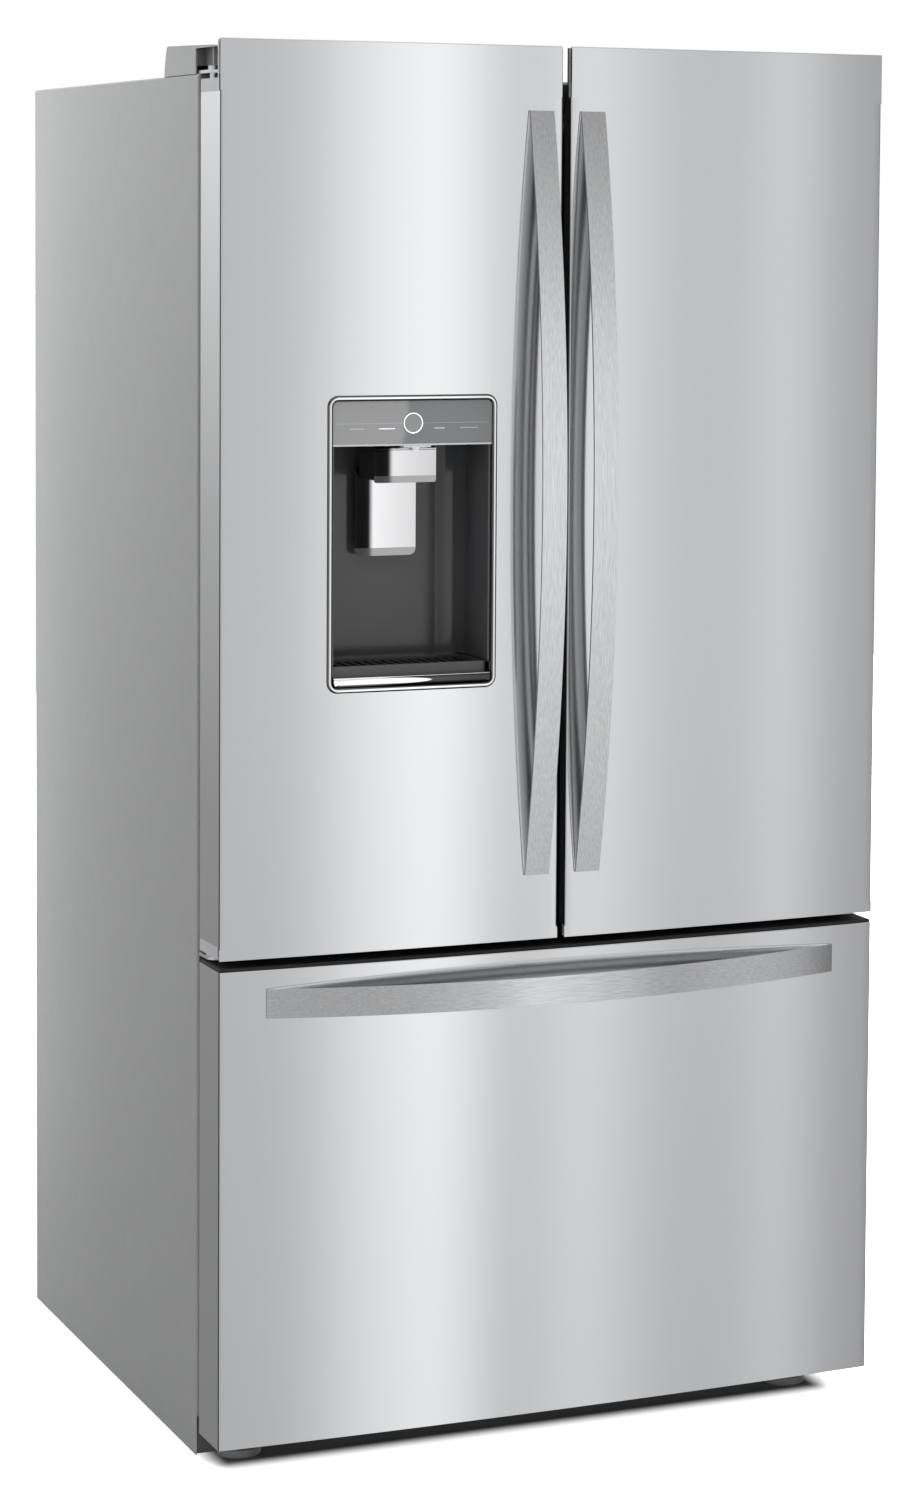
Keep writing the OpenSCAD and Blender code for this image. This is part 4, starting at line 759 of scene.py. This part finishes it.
# ---- Door and drawer fronts ----------------------------------
# Stainless sheet with a fine upright grain and a clear coat, rolled to one shallow bow that
# runs across both doors and the drawer. Its sides are folded back and its top edge is hemmed.
FRONT_MIDDLE, FRONT_BOW = -.393, .010        # the bow's foremost line, and its depth
DOOR_BACK = -.3073
BOW_RADIUS = (HALF ** 2 + FRONT_BOW ** 2) / (2 * FRONT_BOW)
DOOR_TOP, DOOR_BOTTOM, DRAWER_TOP, DRAWER_BOTTOM = 1.781, .655, .641, .044
GAP = .005                   # half of the gap between the doors
FOLDS_FROM, FOLDS_TO = DOOR_BOTTOM + .016, 1.717     # the part of a door whose sides are folded
FOLD_RADIUS, HEM_RADIUS, HEM_DEPTH = .0028, .0015, .0038


def front_at(x):
    return FRONT_MIDDLE + BOW_RADIUS - math.sqrt(BOW_RADIUS ** 2 - x * x)


def bent(piece, line, axis, angle, limits=(0, 1)):
    """Bends a straight piece towards the back, about an upright (Z) or level (X) line on its face."""
    alone()
    bpy.ops.object.empty_add(location=line)
    middle = bpy.context.object
    shape(piece, "SIMPLE_DEFORM", deform_method="BEND", deform_axis=axis, origin=middle, angle=angle,
          limits=limits)
    bpy.data.objects.remove(middle)
    return piece


def length_along(piece, axis):
    places = [v.co[axis] for v in piece.data.vertices]
    return max(places) - min(places)


def bowed(piece):
    """Rolls a piece that was made with a flat front to the bow of the fronts."""
    alone(piece)
    return bent(piece, (0, FRONT_MIDDLE, 0), "Z", length_along(piece, 0) / BOW_RADIUS)


def stainless(name, slot, stretch, roughness=.10, colour=(.60, .605, .615), streak=.010):
    """Brushed and clear-coated stainless; the grain runs along the shorter stretch."""
    steel = Finish(name, slot, Metallic=1)
    grain = steel.noise(1, 2, stretch)
    steel.set("Base Color", steel.blend(grain, tuple(c * (1 - streak) for c in colour),
                                        tuple(c * (1 + streak) for c in colour)))
    steel.set("Roughness", roughness - .015 + .02 * grain + .01 * steel.noise(2.2))
    return steel.relief(grain, .00002, .12)


def front_sheet(name, x0, x1, z0, z1, folds_from, folds_to, hem):
    """The sheet of a front: its bowed face, the sides that are folded back, and a hem along the top."""
    def at_side(a, b, side, reach):
        return abs(a.x - side) < reach and abs(b.x - side) < reach

    def in_folds(a, b):
        low, high = sorted((a.z, b.z))
        return high - low > .01 and low > folds_from - 1e-4 and high < folds_to + 1e-4

    def on_face(a, b, reach):
        return all(end.y < front_at(end.x) + reach for end in (a, b))

    def on_top(a, b):
        return min(a.z, b.z) > z1 - 1e-4

    sheet = upright_plate(name, x0, x1, z0, z1, FRONT_MIDDLE)
    pick(sheet, "EDGE", along(0))
    bpy.ops.mesh.subdivide(number_cuts=round((x1 - x0) / .012))
    for height in (folds_from, folds_to, min(folds_to + .001, z1)):
        cut_through(2, height)
    bowed(sheet)
    for side in (x0, x1):
        pick(sheet, "EDGE", lambda a, b: at_side(a, b, side, .003) and in_folds(a, b))
        pushed(0, DOOR_BACK - front_at(side), 0)
    pick(sheet, "EDGE", lambda a, b: on_top(a, b) and on_face(a, b, .0005))
    pushed(0, HEM_DEPTH, 0)
    pushed(0, 0, -hem)
    bpy.ops.mesh.select_all(action="SELECT")
    bpy.ops.mesh.normals_make_consistent(inside=False)
    bpy.ops.object.mode_set(mode="OBJECT")
    foremost = min(sheet.data.polygons, key=lambda face: face.center.y)
    if foremost.normal.y > 0:
        bpy.ops.object.mode_set(mode="EDIT")
        bpy.ops.mesh.flip_normals()
    # the folds: along both sides, and over the top
    rounded(sheet, FOLD_RADIUS, 5, lambda a, b: in_folds(a, b) and abs(a.x - b.x) < 1e-4
            and on_face(a, b, .0003) and min(abs(a.x - x0), abs(a.x - x1)) < .001)
    rounded(sheet, HEM_RADIUS, 4, lambda a, b: on_top(a, b) and abs(a.x - b.x) > .004)
    # over the side folds' upper ends the sheet is as narrow as its folded part looks
    for side, inwards in ((x0, .0016), (x1, -.0016)):
        if abs(side) < .01:
            pick(sheet, "EDGE", lambda a, b: min(a.z, b.z) > folds_to + .0005
                 and at_side(a, b, side, .0003))
            bpy.ops.transform.translate(value=(inwards, 0, 0))
    return walled(sheet, .0009)


def folded_edge(middle, normal):
    return abs(normal.x) > .55 and -.75 < normal.y < -.12


door_steel = stainless("fine_grained_stainless", "stainless", (700, 700, 9))
# painted shade: the faces of the side folds are stainless painted dark, a dark line along each fold
fold_shade_steel = stainless("folded_edge_stainless", "stainless", (700, 700, 9), .16, (.10, .101, .104))
for body, front, node, *sizes in (
        ("left_door", "left_door_front", "left_door_skin", -HALF, -GAP, DOOR_BOTTOM, DOOR_TOP,
         FOLDS_FROM, FOLDS_TO, .0445),
        ("right_door", "right_door_front", "right_door_skin", GAP, HALF, DOOR_BOTTOM, DOOR_TOP,
         FOLDS_FROM, FOLDS_TO, .0445),
        ("freezer_drawer", "drawer_front", "drawer_skin", -HALF, HALF, DRAWER_BOTTOM, DRAWER_TOP,
         DRAWER_BOTTOM, DRAWER_TOP, .008)):
    sheet = front_sheet(front, *sizes)
    if body == "left_door":
        opening = block("dispenser_opening", (-.312, -.42, .983), (-.096, -.36, 1.343))
        rounded(opening, .010, 6, along(1))
        cut(sheet, opening)
    tint(place(sheet, body, door_steel, node), fold_shade_steel, folded_edge)

# ---- Gaskets -------------------------------------------------
# Soft grey extruded frames with a magnet in the bead that meets the cabinet and a bellows
# groove behind it, welded at the corners and pushed into the inner doors. A thin lip on
# the left door shuts the gap between the two doors; it is painted black for the gap's shade.
rubber = Finish("grey_gasket", "gasket").hazed(.55, .14, 30, 3)
rubber.mottled((.070, .071, .074), (.105, .106, .110), 12).grained(260, 2, .0001, .3)
for node, body in (("left_door_gasket", "left_door"), ("right_door_gasket", "right_door"),
                   ("drawer_gasket", "freezer_drawer")):
    softened(node, body, rubber, .0013, 3)
# near-black, used only as painted shade: in the gap between the doors, on the caps and the drawer strip by
# the gaps, and in the slits at the hems
black_rubber = Finish("black_rubber", "gasket").hazed(.70, .10, 60)
black_rubber.mottled((.004, .004, .004), (.009, .009, .009), 20)
gap_shade_lip = eased(block("gap_shade_lip", (-.0055, -.3720, .657), (.0035, -.3700, 1.779)), .0007)
place(gap_shade_lip, "left_door", black_rubber)

# ---- Door caps -----------------------------------------------
# Moulded caps close the top and the bottom of each door and hold the hinge pins' bores. An
# upright tab stands behind the hem of the front; the drawer has a strip at its top and bottom.
cap_grey = moulded("door_cap_plastic", "door_cap", (.18, .182, .186), .40, 400, .00005)
for body in ("left_door", "right_door"):
    caps = softened(body + "_trim", body, cap_grey, .0009)
    # painted shade: the caps' faces by the gap between the doors are painted black
    tint(caps, black_rubber, lambda middle, normal: abs(middle.x) < .0065)
# painted shade: the drawer's strips, the caps' plastic, are painted far darker, and black along the top,
# for the shade in the gaps round the drawer
shaded_strip_grey = moulded("drawer_strip_plastic", "door_cap", (.025, .0255, .027), .50, 400, .00005)
strip = softened("drawer_trim", "freezer_drawer", shaded_strip_grey, .0012, 3)
tint(strip, black_rubber, lambda middle, normal: middle.z > .6)
# painted shade: black strips fill the slits between the caps' tabs and the fronts' hems
for x, body in ((-.4460, "left_door"), (.4460, "right_door")):
    slit_shade = block(body + "_hem_seal", (x - .0058, -.3792, 1.7185), (x + .0058, -.3760, 1.7760))
    place(eased(slit_shade, .0006), body, black_rubber)

# ---- Inner doors ---------------------------------------------
# White sheet, vacuum-formed over a mould and foamed to the back of each front. A raised frame
# reaches into the compartment, and on the left door a step covers the dispenser.
FORMED = .0025               # thickness of the sheet


def inner_sheet(name, x0, x1, z0, z1, span, low, high, wall, depth, step):
    """A formed inner door: a flat sheet with a raised frame, and a step between two heights."""
    sheet = upright_plate(name, x0, x1, z0, z1, DOOR_BACK)
    pick(sheet, "FACE")
    bpy.ops.mesh.flip_normals()
    for axis, places_at in ((0, (span[0], span[0] + wall, span[1] - wall, span[1])),
                            (2, (low, low + wall, high - wall, high) + step)):
        for at in places_at:
            cut_through(axis, at)

    def raised(middle, normal):
        inside = span[0] < middle.x < span[1] and low < middle.z < high
        hollow = span[0] + wall < middle.x < span[1] - wall and low + wall < middle.z < high - wall
        return inside and (not hollow or (step and step[0] < middle.z < step[1]))
    pick(sheet, "FACE", raised)
    pushed(0, depth, 0)
    pick(sheet, "EDGE")
    bpy.ops.mesh.dissolve_limited(angle_limit=.01)
    return walled(eased(sheet, .0055, 4, 40), FORMED)


for name, body, *sizes in (
        ("left_door", "left_door", -SHEET_HALF, -.006, .671, 1.717, (-.390, -.054), .704, 1.686,
         .018, .045, (.950, 1.352)),
        ("right_door", "right_door", .006, SHEET_HALF, .671, 1.717, (.054, .390), .704, 1.686,
         .018, .045, ()),
        ("drawer", "freezer_drawer", -SHEET_HALF, SHEET_HALF, .060, .631, (-.374, .374), .122, .592,
         .016, .024, ())):
    sheet = inner_sheet(name + "_inner_sheet", *sizes)
    if name == "left_door":
        cut(sheet, block("duct_mouth", (-.232, DOOR_BACK - .006, 1.3560), (-.176, DOOR_BACK + .004, 1.402)))
    place(sheet, body, liner_white, name + "_liner")

lugs = block("mullion_lugs", (-.055, DOOR_BACK, .692), (-.031, -.2807, .699))
rounded(lugs, .006, 4, lambda a, b: along(2)(a, b) and a.y > -.29)
place(repeated(eased(lugs, .0008, angle=50), (0, 0, .993)), "left_door", liner_white)
pins = rod("mullion_pins", .0025, (-.038, -.2867, .699), (-.038, -.2867, .710), 24)
place(repeated(eased(pins, .0005, angle=60), (0, 0, .975)), "left_door", zinc_plate)

# ---- Handles -------------------------------------------------
# Solid bars of stainless with a flat face and a rounded back, bowed outwards along their
# length; their ends run into the fronts. The faces are brushed; the backs are blasted and painted
# lighter, for light on them; the upright bars' edges that look left and down are painted dark, for shade.
HANDLE_REACH, HANDLE_THICK, HANDLE_EDGE = .052, .010, .0018
HANDLE_FACE = FRONT_MIDDLE - HANDLE_REACH


def bar_handle(name, low, high, along_x, foot):
    """A bar between two corners of its face, (x, z) each, bowed along X or along Z, whose ends are
    cut off where they run into the front, at the foot."""
    run, across = (0, 2) if along_x else (2, 0)
    low, high = ((x, HANDLE_FACE, z) for x, z in (low, high))
    middle = (Vector(low) + Vector(high)) / 2
    half, width = (high[run] - low[run]) / 2, high[across] - low[across]
    sag = foot - .003 - HANDLE_FACE
    radius = (half ** 2 + sag ** 2) / (2 * sag)
    extra = Vector((0, 0, 0))
    extra[run] = radius * math.asin(half / radius) - half + .004
    start, end = Vector(low) - extra, Vector(high) + extra
    start[across] = end[across] = middle[across]
    bar = rod(name, width / 2, start, end)
    pick(bar, "FACE")
    cut_through(1, HANDLE_FACE, use_fill=True, clear_inner=True)
    bpy.ops.mesh.select_all(action="SELECT")
    bpy.ops.transform.resize(value=(1, 2 * (HANDLE_THICK - HANDLE_EDGE) / width, 1),
                             center_override=(0, HANDLE_FACE, 0))
    pick(bar, "FACE", facing(1, -1))
    pushed(0, -HANDLE_EDGE, 0)
    bpy.ops.mesh.select_all(action="SELECT")
    bpy.ops.transform.translate(value=(0, HANDLE_EDGE, 0))
    pick(bar, "EDGE", along(run))
    bpy.ops.mesh.subdivide(number_cuts=60)
    alone(bar)
    bent(bar, middle, "Z" if along_x else "X", length_along(bar, run) / radius)
    pick(bar, "FACE")
    for side in (-1, 1):
        cut_through(run, middle[run] + side * half, side, use_fill=True, clear_outer=True)
    cut_through(1, foot + .0003, use_fill=True, clear_outer=True)
    return eased(bar, .0011, 3, 40)


upright_steel, level_steel, blasted_lightened_steel, ground_edge = (
    stainless(name + "_stainless", "handle_steel", *values) for name, *values in (
        ("upright_brushed", (900, 900, 35), .20, (.62, .625, .634), .26),
        ("level_brushed", (35, 900, 900), .20, (.60, .605, .614), .24),
        ("blasted", (500, 500, 500), .26, (.88, .885, .89), .03),
        ("ground_edge", (500, 500, 500), .30, (.30, .302, .306), .03)))
for name, body, finish, low, high, foot in (
        ("left_door", "left_door", upright_steel, (-.0515, .738), (-.0185, 1.700), FRONT_MIDDLE),
        ("right_door", "right_door", upright_steel, (.0185, .738), (.0515, 1.700), FRONT_MIDDLE),
        ("drawer", "freezer_drawer", level_steel, (-.392, .581), (.392, .617), front_at(.392))):
    bar = bar_handle(name + "_bar_handle", low, high, name == "drawer", foot)
    place(bar, body, finish, name + "_handle", angle=25)
    # painted light: the backs are blasted and far lighter than the steel, so that they read light in the
    # fronts' reflection
    tint(bar, blasted_lightened_steel, lambda middle, normal: normal.y > .15)
    if name != "drawer":
        # painted shade: the edges of the upright bars that look left and down are painted dark
        tint(bar, ground_edge, lambda middle, normal: -.95 < normal.y < .15
             and min(normal.x, normal.z) < -.25)

# ---- Dispenser bezel -----------------------------------------
# A half-round chromed bead in one piece round the dispenser, with round corners. It lies on
# the front's sheet and has a thin collar that reaches in to the housing. Its flanks are painted
# almost black, a painted shade beside its bright lines.
DISPENSER_X = -.204
BEZEL = (-.316, -.092, .979, 1.347)          # x from and to, z from and to
COLLAR_IN = .0045                            # the collar's distance from the bead's outline


def mirror_chrome(name, lightness=.80, roughness=.035):
    """Chromium plating: bright and a little cold, with the faintest haze."""
    plating = Finish(name, "chrome", Metallic=1)
    plating.mottled((lightness * .97,) * 3, (lightness * 1.03,) * 3, 40, 3).hazed(roughness, .03, 40, 3)
    return plating.grained(25, 1, .00005, .1)


def ring_of(name, outline, radius, width, y, thickness):
    """An upright ring with round corners, whose front is at y."""
    x0, x1, z0, z1 = outline
    x, z = (x0 + x1) / 2, (z0 + z1) / 2
    ring = upright_plate(name, *outline, y, radius, radius)
    pick(ring, "FACE")
    bpy.ops.mesh.inset(thickness=width)
    opened(ring, lambda middle, normal: math.hypot(middle.x - x, middle.z - z) < .001)
    return walled(ring, thickness)


def sliced(piece, x0, x1):
    """Upright cuts through a piece, so that it can be rolled to the bow."""
    pick(piece, "FACE")
    count = round((x1 - x0) / .012)
    for number in range(1, count):
        cut_through(0, x0 + (x1 - x0) * number / count)
    alone(piece)
    return piece


chrome = mirror_chrome("bezel_chrome")
bead = ring_of("dispenser_bead", BEZEL, .014, .007, FRONT_MIDDLE - .003, .0034)
# its edges between the face and the flanks
rims, fronts = ({tuple(sorted(key)) for face in bead.data.polygons if low < face.normal.y < high
                 for key in face.edge_keys} for low, high in ((-.5, .5), (-2, -.9)))
pick(bead, "EDGE", lambda a, b: False)
bpy.ops.object.mode_set(mode="OBJECT")
for edge in bead.data.edges:
    edge.select = tuple(sorted(edge.vertices)) in rims & fronts
bpy.ops.object.mode_set(mode="EDIT")
bpy.ops.mesh.bevel(offset=.0030, segments=5, affect="EDGES")
bowed(sliced(bead, *BEZEL[:2]))
collar_outline = [value + way * COLLAR_IN for value, way in zip(BEZEL, (1, -1, 1, -1))]
collar = ring_of("dispenser_collar", collar_outline, .0095, .0023, FRONT_MIDDLE + .0002, .0165)
bowed(sliced(collar, *collar_outline[:2]))
place(bead, "left_door", chrome, "dispenser_bezel", angle=50)
# painted shade: the bead's flanks are chrome painted almost black
tint(bead, mirror_chrome("smoked_chrome", .10), lambda middle, normal: normal.y > -.93)
place(collar, "left_door", chrome)

# ---- Control panel -------------------------------------------
# A glossy grey plastic panel with touch fields, flush inside the bezel's upper end. Short pale
# bars mark the fields under a thin line. Its left end is lighter up to a curved edge, a painted
# reflection, and the lower edge has a round lip painted lighter, a painted highlight.
PANEL = (-.3087, -.0993, 1.284, 1.3397)
BUTTON_Z = 1.312
MARK_LINE, MARK_HEIGHTS = (1.3118, 1.3122), (1.3048, 1.3060)
MARKS = ((-.2873, -.2683, .25), (-.2491, -.2277, 1), (-.1757, -.1620, .45), (-.1415, -.1176, .25))


class Field:
    """Masks on a finish from distances across and up it, in metres."""

    def __init__(self, finish):
        self.x, _, self.z = finish.axes(finish.node("TexCoord", output="Object"))

    def bar(self, x0, x1, z0, z1):
        """1 inside a bar, 0 outside."""
        return (self.x > x0) * (self.x < x1) * (self.z > z0) * (self.z < z1)

    def from_point(self, x, z):
        return ((self.x - x) ** 2 + (self.z - z) ** 2) ** .5


panel = walled(sliced(upright_plate("control_panel_face", *PANEL, FRONT_MIDDLE, 0, .007), *PANEL[:2]), .010)
rounded(panel, .0024, 5, lambda a, b: max(a.z, b.z) < PANEL[2] + 1e-4
        and max(a.y, b.y) < FRONT_MIDDLE + 1e-4)
bowed(panel)
cut(panel, rod("ring_hole", .0134, (DISPENSER_X, -.40, BUTTON_Z), (DISPENSER_X, -.37, BUTTON_Z), 64))
panel_grey = Finish("panel_grey", "panel_grey")
field = Field(panel_grey)
# painted reflection: a lighter zone at the left end, up to a soft curved edge
painted_reflection_sweep = panel_grey.span(field.from_point(-.299, 1.325), .084, .094, "SMOOTHSTEP")
marks = (field.bar(-.305, -.218, *MARK_LINE) + field.bar(-.190, -.103, *MARK_LINE)) * .25
for x0, x1, light in MARKS:
    marks = marks + field.bar(x0, x1, *MARK_HEIGHTS) * light
painted_reflection_tone = panel_grey.blend(painted_reflection_sweep, (.185, .187, .19), (.110, .112, .115))
# painted highlight: the round lip along the lower edge is painted lighter
painted_reflection_tone = panel_grey.blend(field.z < 1.2862, painted_reflection_tone, (.42, .42, .43))
panel_grey.set("Base Color", panel_grey.blend(marks, painted_reflection_tone, (.72, .73, .74)))
panel_grey.set("Roughness", .07 + .05 * panel_grey.noise(40) + .25 * marks).grained(18, 1, .0001, .08)
place(panel, "left_door", panel_grey, "control_panel")

button = rod("ring_button_cap", .0130, (DISPENSER_X, -.3917, BUTTON_Z), (DISPENSER_X, -.3837, BUTTON_Z), 64)
rounded(button, .0010, 4, lambda a, b: max(a.y, b.y) < -.3916)
button_grey = moulded("button_grey", "button_grey", (.17, .172, .176), .12, 30, .00005)
place(button, "ring_button", button_grey, "ring_button")
alone()
bpy.ops.mesh.primitive_torus_add(major_radius=.0122, minor_radius=.0008,
                                 major_segments=72, minor_segments=10,
                                 location=(DISPENSER_X, -.39165, BUTTON_Z), rotation=(math.pi / 2, 0, 0))
pale_ring = moulded("pale_ring", "white_plastic", (.86, .87, .88), .30, 200, .00002)
place(added("ring_button_mark"), "ring_button", pale_ring)

# ---- Dispenser housing ---------------------------------------
# The cavity, its shaft and the chute are moulded in glossy dark plastic, with round rear
# corners. The nozzle is translucent, and steel pins on short arms hold the paddles.


def within(low, high):
    """A test for faces between two corners, with X measured from the dispenser's middle."""
    centre = (DISPENSER_X, 0, 0)
    return lambda middle, normal: all(a <= m - c <= b for a, m, b, c in zip(low, middle, high, centre))


housing_plastic = moulded("housing_plastic", "housing_grey", (.040, .041, .043), .16, 60)
chute_plastic = moulded("chute_plastic", "housing_grey", (.012, .012, .013), .35)
nozzle_plastic = moulded("nozzle_plastic", "housing_grey", (.55, .57, .59), .25, 200, .00002)
housing = softened("dispenser_housing", "left_door", housing_plastic, .0005)
for finish, low, high in ((chute_plastic, (-.0435, -.3652, 1.2395), (.0375, -.3168, 1.2838)),
                          (nozzle_plastic, (-.0105, -.3870, 1.2765), (.0265, -.3738, 1.2837)),
                          (zinc_plate, (-.0435, -.3738, 1.2770), (.0375, -.3652, 1.2810)),
                          (zinc_plate, (-.0435, -.3168, 1.2440), (.0375, -.3005, 1.2480))):
    tint(housing, finish, within(low, high))

# ---- Paddles -------------------------------------------------
# Two chromed plates that hang from knuckles in the cavity, one for water and one for ice. Their
# left edges curl back and are painted almost black, a painted dark reflection, and a satin strip
# along the bottom takes the glass.
PADDLE_LEFT, PADDLE_RIGHT = DISPENSER_X - .044, DISPENSER_X + .038
CURL, CURL_RADIUS = .018, .040               # width and radius of the curled edge

for name, chrome_name, y, z, low, radius, satin in (
        ("water_paddle", "paddle_chrome", -.37097, 1.279, 1.237, .003, 1.2455),
        ("ice_paddle", "ice_paddle_chrome", -.30297, 1.246, 1.140, .009, 1.150)):
    plated = Finish(chrome_name, "chrome", Metallic=1).grained(25, 1, .00005, .1)
    field = Field(plated)
    band = field.z < satin
    # painted reflection: the plates are painted almost black over their curled left edges
    painted_dark_reflection = 1 - plated.span(field.x, PADDLE_LEFT + .0175, PADDLE_LEFT + .0255, "SMOOTHSTEP")
    plated.set("Roughness", .04 + .02 * plated.noise(40) + .30 * band)
    bright = plated.blend(painted_dark_reflection, (.64, .64, .65), (.012, .012, .013))
    satin_strip = plated.blend(painted_dark_reflection, (.50, .505, .51), (.10, .10, .105))
    plated.set("Base Color", plated.blend(band, bright, satin_strip))
    paddle = upright_plate(name + "_plate", PADDLE_LEFT, PADDLE_RIGHT, low, z + .001, y - .0024,
                           radius, .0005)
    pick(paddle, "FACE")
    for number in range(1, 11):
        cut_through(0, PADDLE_LEFT + CURL * number / 10)
    bent(paddle, (PADDLE_LEFT + CURL, y - .0024, z), "Z", CURL / CURL_RADIUS,
         (0, CURL / (PADDLE_RIGHT - PADDLE_LEFT)))
    eased(walled(paddle, .0015), .0004, angle=50)
    knuckle = rod("knuckle", .0029, (PADDLE_LEFT + .001, y, z), (PADDLE_RIGHT - .001, y, z), 32)
    place(joined(paddle, eased(knuckle, .0006, angle=60)), name, plated, name, angle=35)

# ---- Drip tray -----------------------------------------------
# A chromed lip across the foot of the cavity, with a dark tub behind it and a slotted grid that
# lifts out.
TRAY_LEFT, TRAY_RIGHT = -.3074, -.1006
LIP_FOOT, LIP_TOP = .9866, .9990
lip = block("drip_tray_lip", (TRAY_LEFT, FRONT_MIDDLE - .0034, LIP_FOOT),
            (TRAY_RIGHT, FRONT_MIDDLE + .0110, LIP_TOP))
rounded(lip, .0065, 6, along(1, (2, LIP_FOOT)))
rounded(lip, .0040, 6, lambda a, b: along(0)(a, b) and a.y < FRONT_MIDDLE)
bowed(sliced(lip, TRAY_LEFT, TRAY_RIGHT))
lip_chrome = mirror_chrome("lip_chrome")
field = Field(lip_chrome)
# a painted reflection: the lip is bright on its left part, up to a round end, and along its top rounding,
# and dark elsewhere
end = lip_chrome.span(field.x + 2700 * (field.z - .9925) ** 2, -.182, -.177, "SMOOTHSTEP")
lip_chrome.set("Base Color", lip_chrome.blend(end * (field.z < .9975), (.82, .82, .83), (.05, .05, .052)))
place(lip, "left_door", lip_chrome, "drip_tray", angle=40)
tub = block("drip_tray_tub", (TRAY_LEFT + .001, -.3795, .9870), (TRAY_RIGHT - .001, -.2998, 1.0112))
sunk(tub, facing(2, 1), .002, 0, 0, -.020)
place(eased(tub, .0006, angle=40), "left_door", housing_plastic)
grid = block("drip_tray_grid", (TRAY_LEFT + .0035, -.3768, 1.0060), (TRAY_RIGHT - .0035, -.3030, 1.0085))
slots = block("slots", (DISPENSER_X - .0870, -.3700, 1.004), (DISPENSER_X - .0810, -.3110, 1.010))
rounded(slots, .0028, 4, along(2))
cut(grid, repeated(slots, *[(.012 * number, 0, 0) for number in range(1, 15)]))
place(eased(grid, .0004, angle=50), "left_door", chute_plastic)

# ---- Ice bin and door bins -----------------------------------
# The ice bin is a white moulded bucket behind the dispenser with a grip in its wall. Clear
# moulded bins with round corners hang inside both doors, each with a white band along its front.
softened("ice_bin", "left_door", white_plastic, .0014, 3)
# body, x from and to, z from and to, distances from the door's back
BINS = [("left_door", -.372, -.072, .726, .856, .002, .085),
        ("left_door", -.372, -.072, 1.010, 1.120, .045, .090),
        ("right_door", .072, .372, .726, .846, .002, .085)]
BINS += [("right_door", .072, .372, z, z + .120, .002, .105) for z in (.990, 1.230, 1.440)]
for number, (body, x0, x1, z0, z1, near, far) in enumerate(BINS, 1):
    tub = moulded_tub(f"door_bin_{number}", (x0, DOOR_BACK + near, z0), (x1, DOOR_BACK + far, z1), .014)
    band = block(f"door_bin_band_{number}", (x0 + .014, DOOR_BACK + far - .0035, z1 - .022),
                 (x1 - .014, DOOR_BACK + far, z1 - .006))
    place(tub, body, clear_plastic, body + "_bins")
    place(eased(band, .0012, 3), body, white_plastic)

# ---- Flip mullion --------------------------------------------
# A hollow bar with a steel face that the gaskets of both doors meet. It is hinged to the left
# door on two pins and folds as the door opens.
softened("flip_mullion", "flip_mullion", pale_enamel, .0016, 3, angle=40)

# ---- Freezer baskets -----------------------------------------
# White moulded baskets with slotted floors and a rim. The lower one hangs on the drawer's
# carriers, and the upper one slides on ledges of the liner.
softened("lower_basket", "freezer_drawer", white_plastic, .0012, 3)
softened("upper_basket", "upper_basket", white_plastic, .0012, 3)
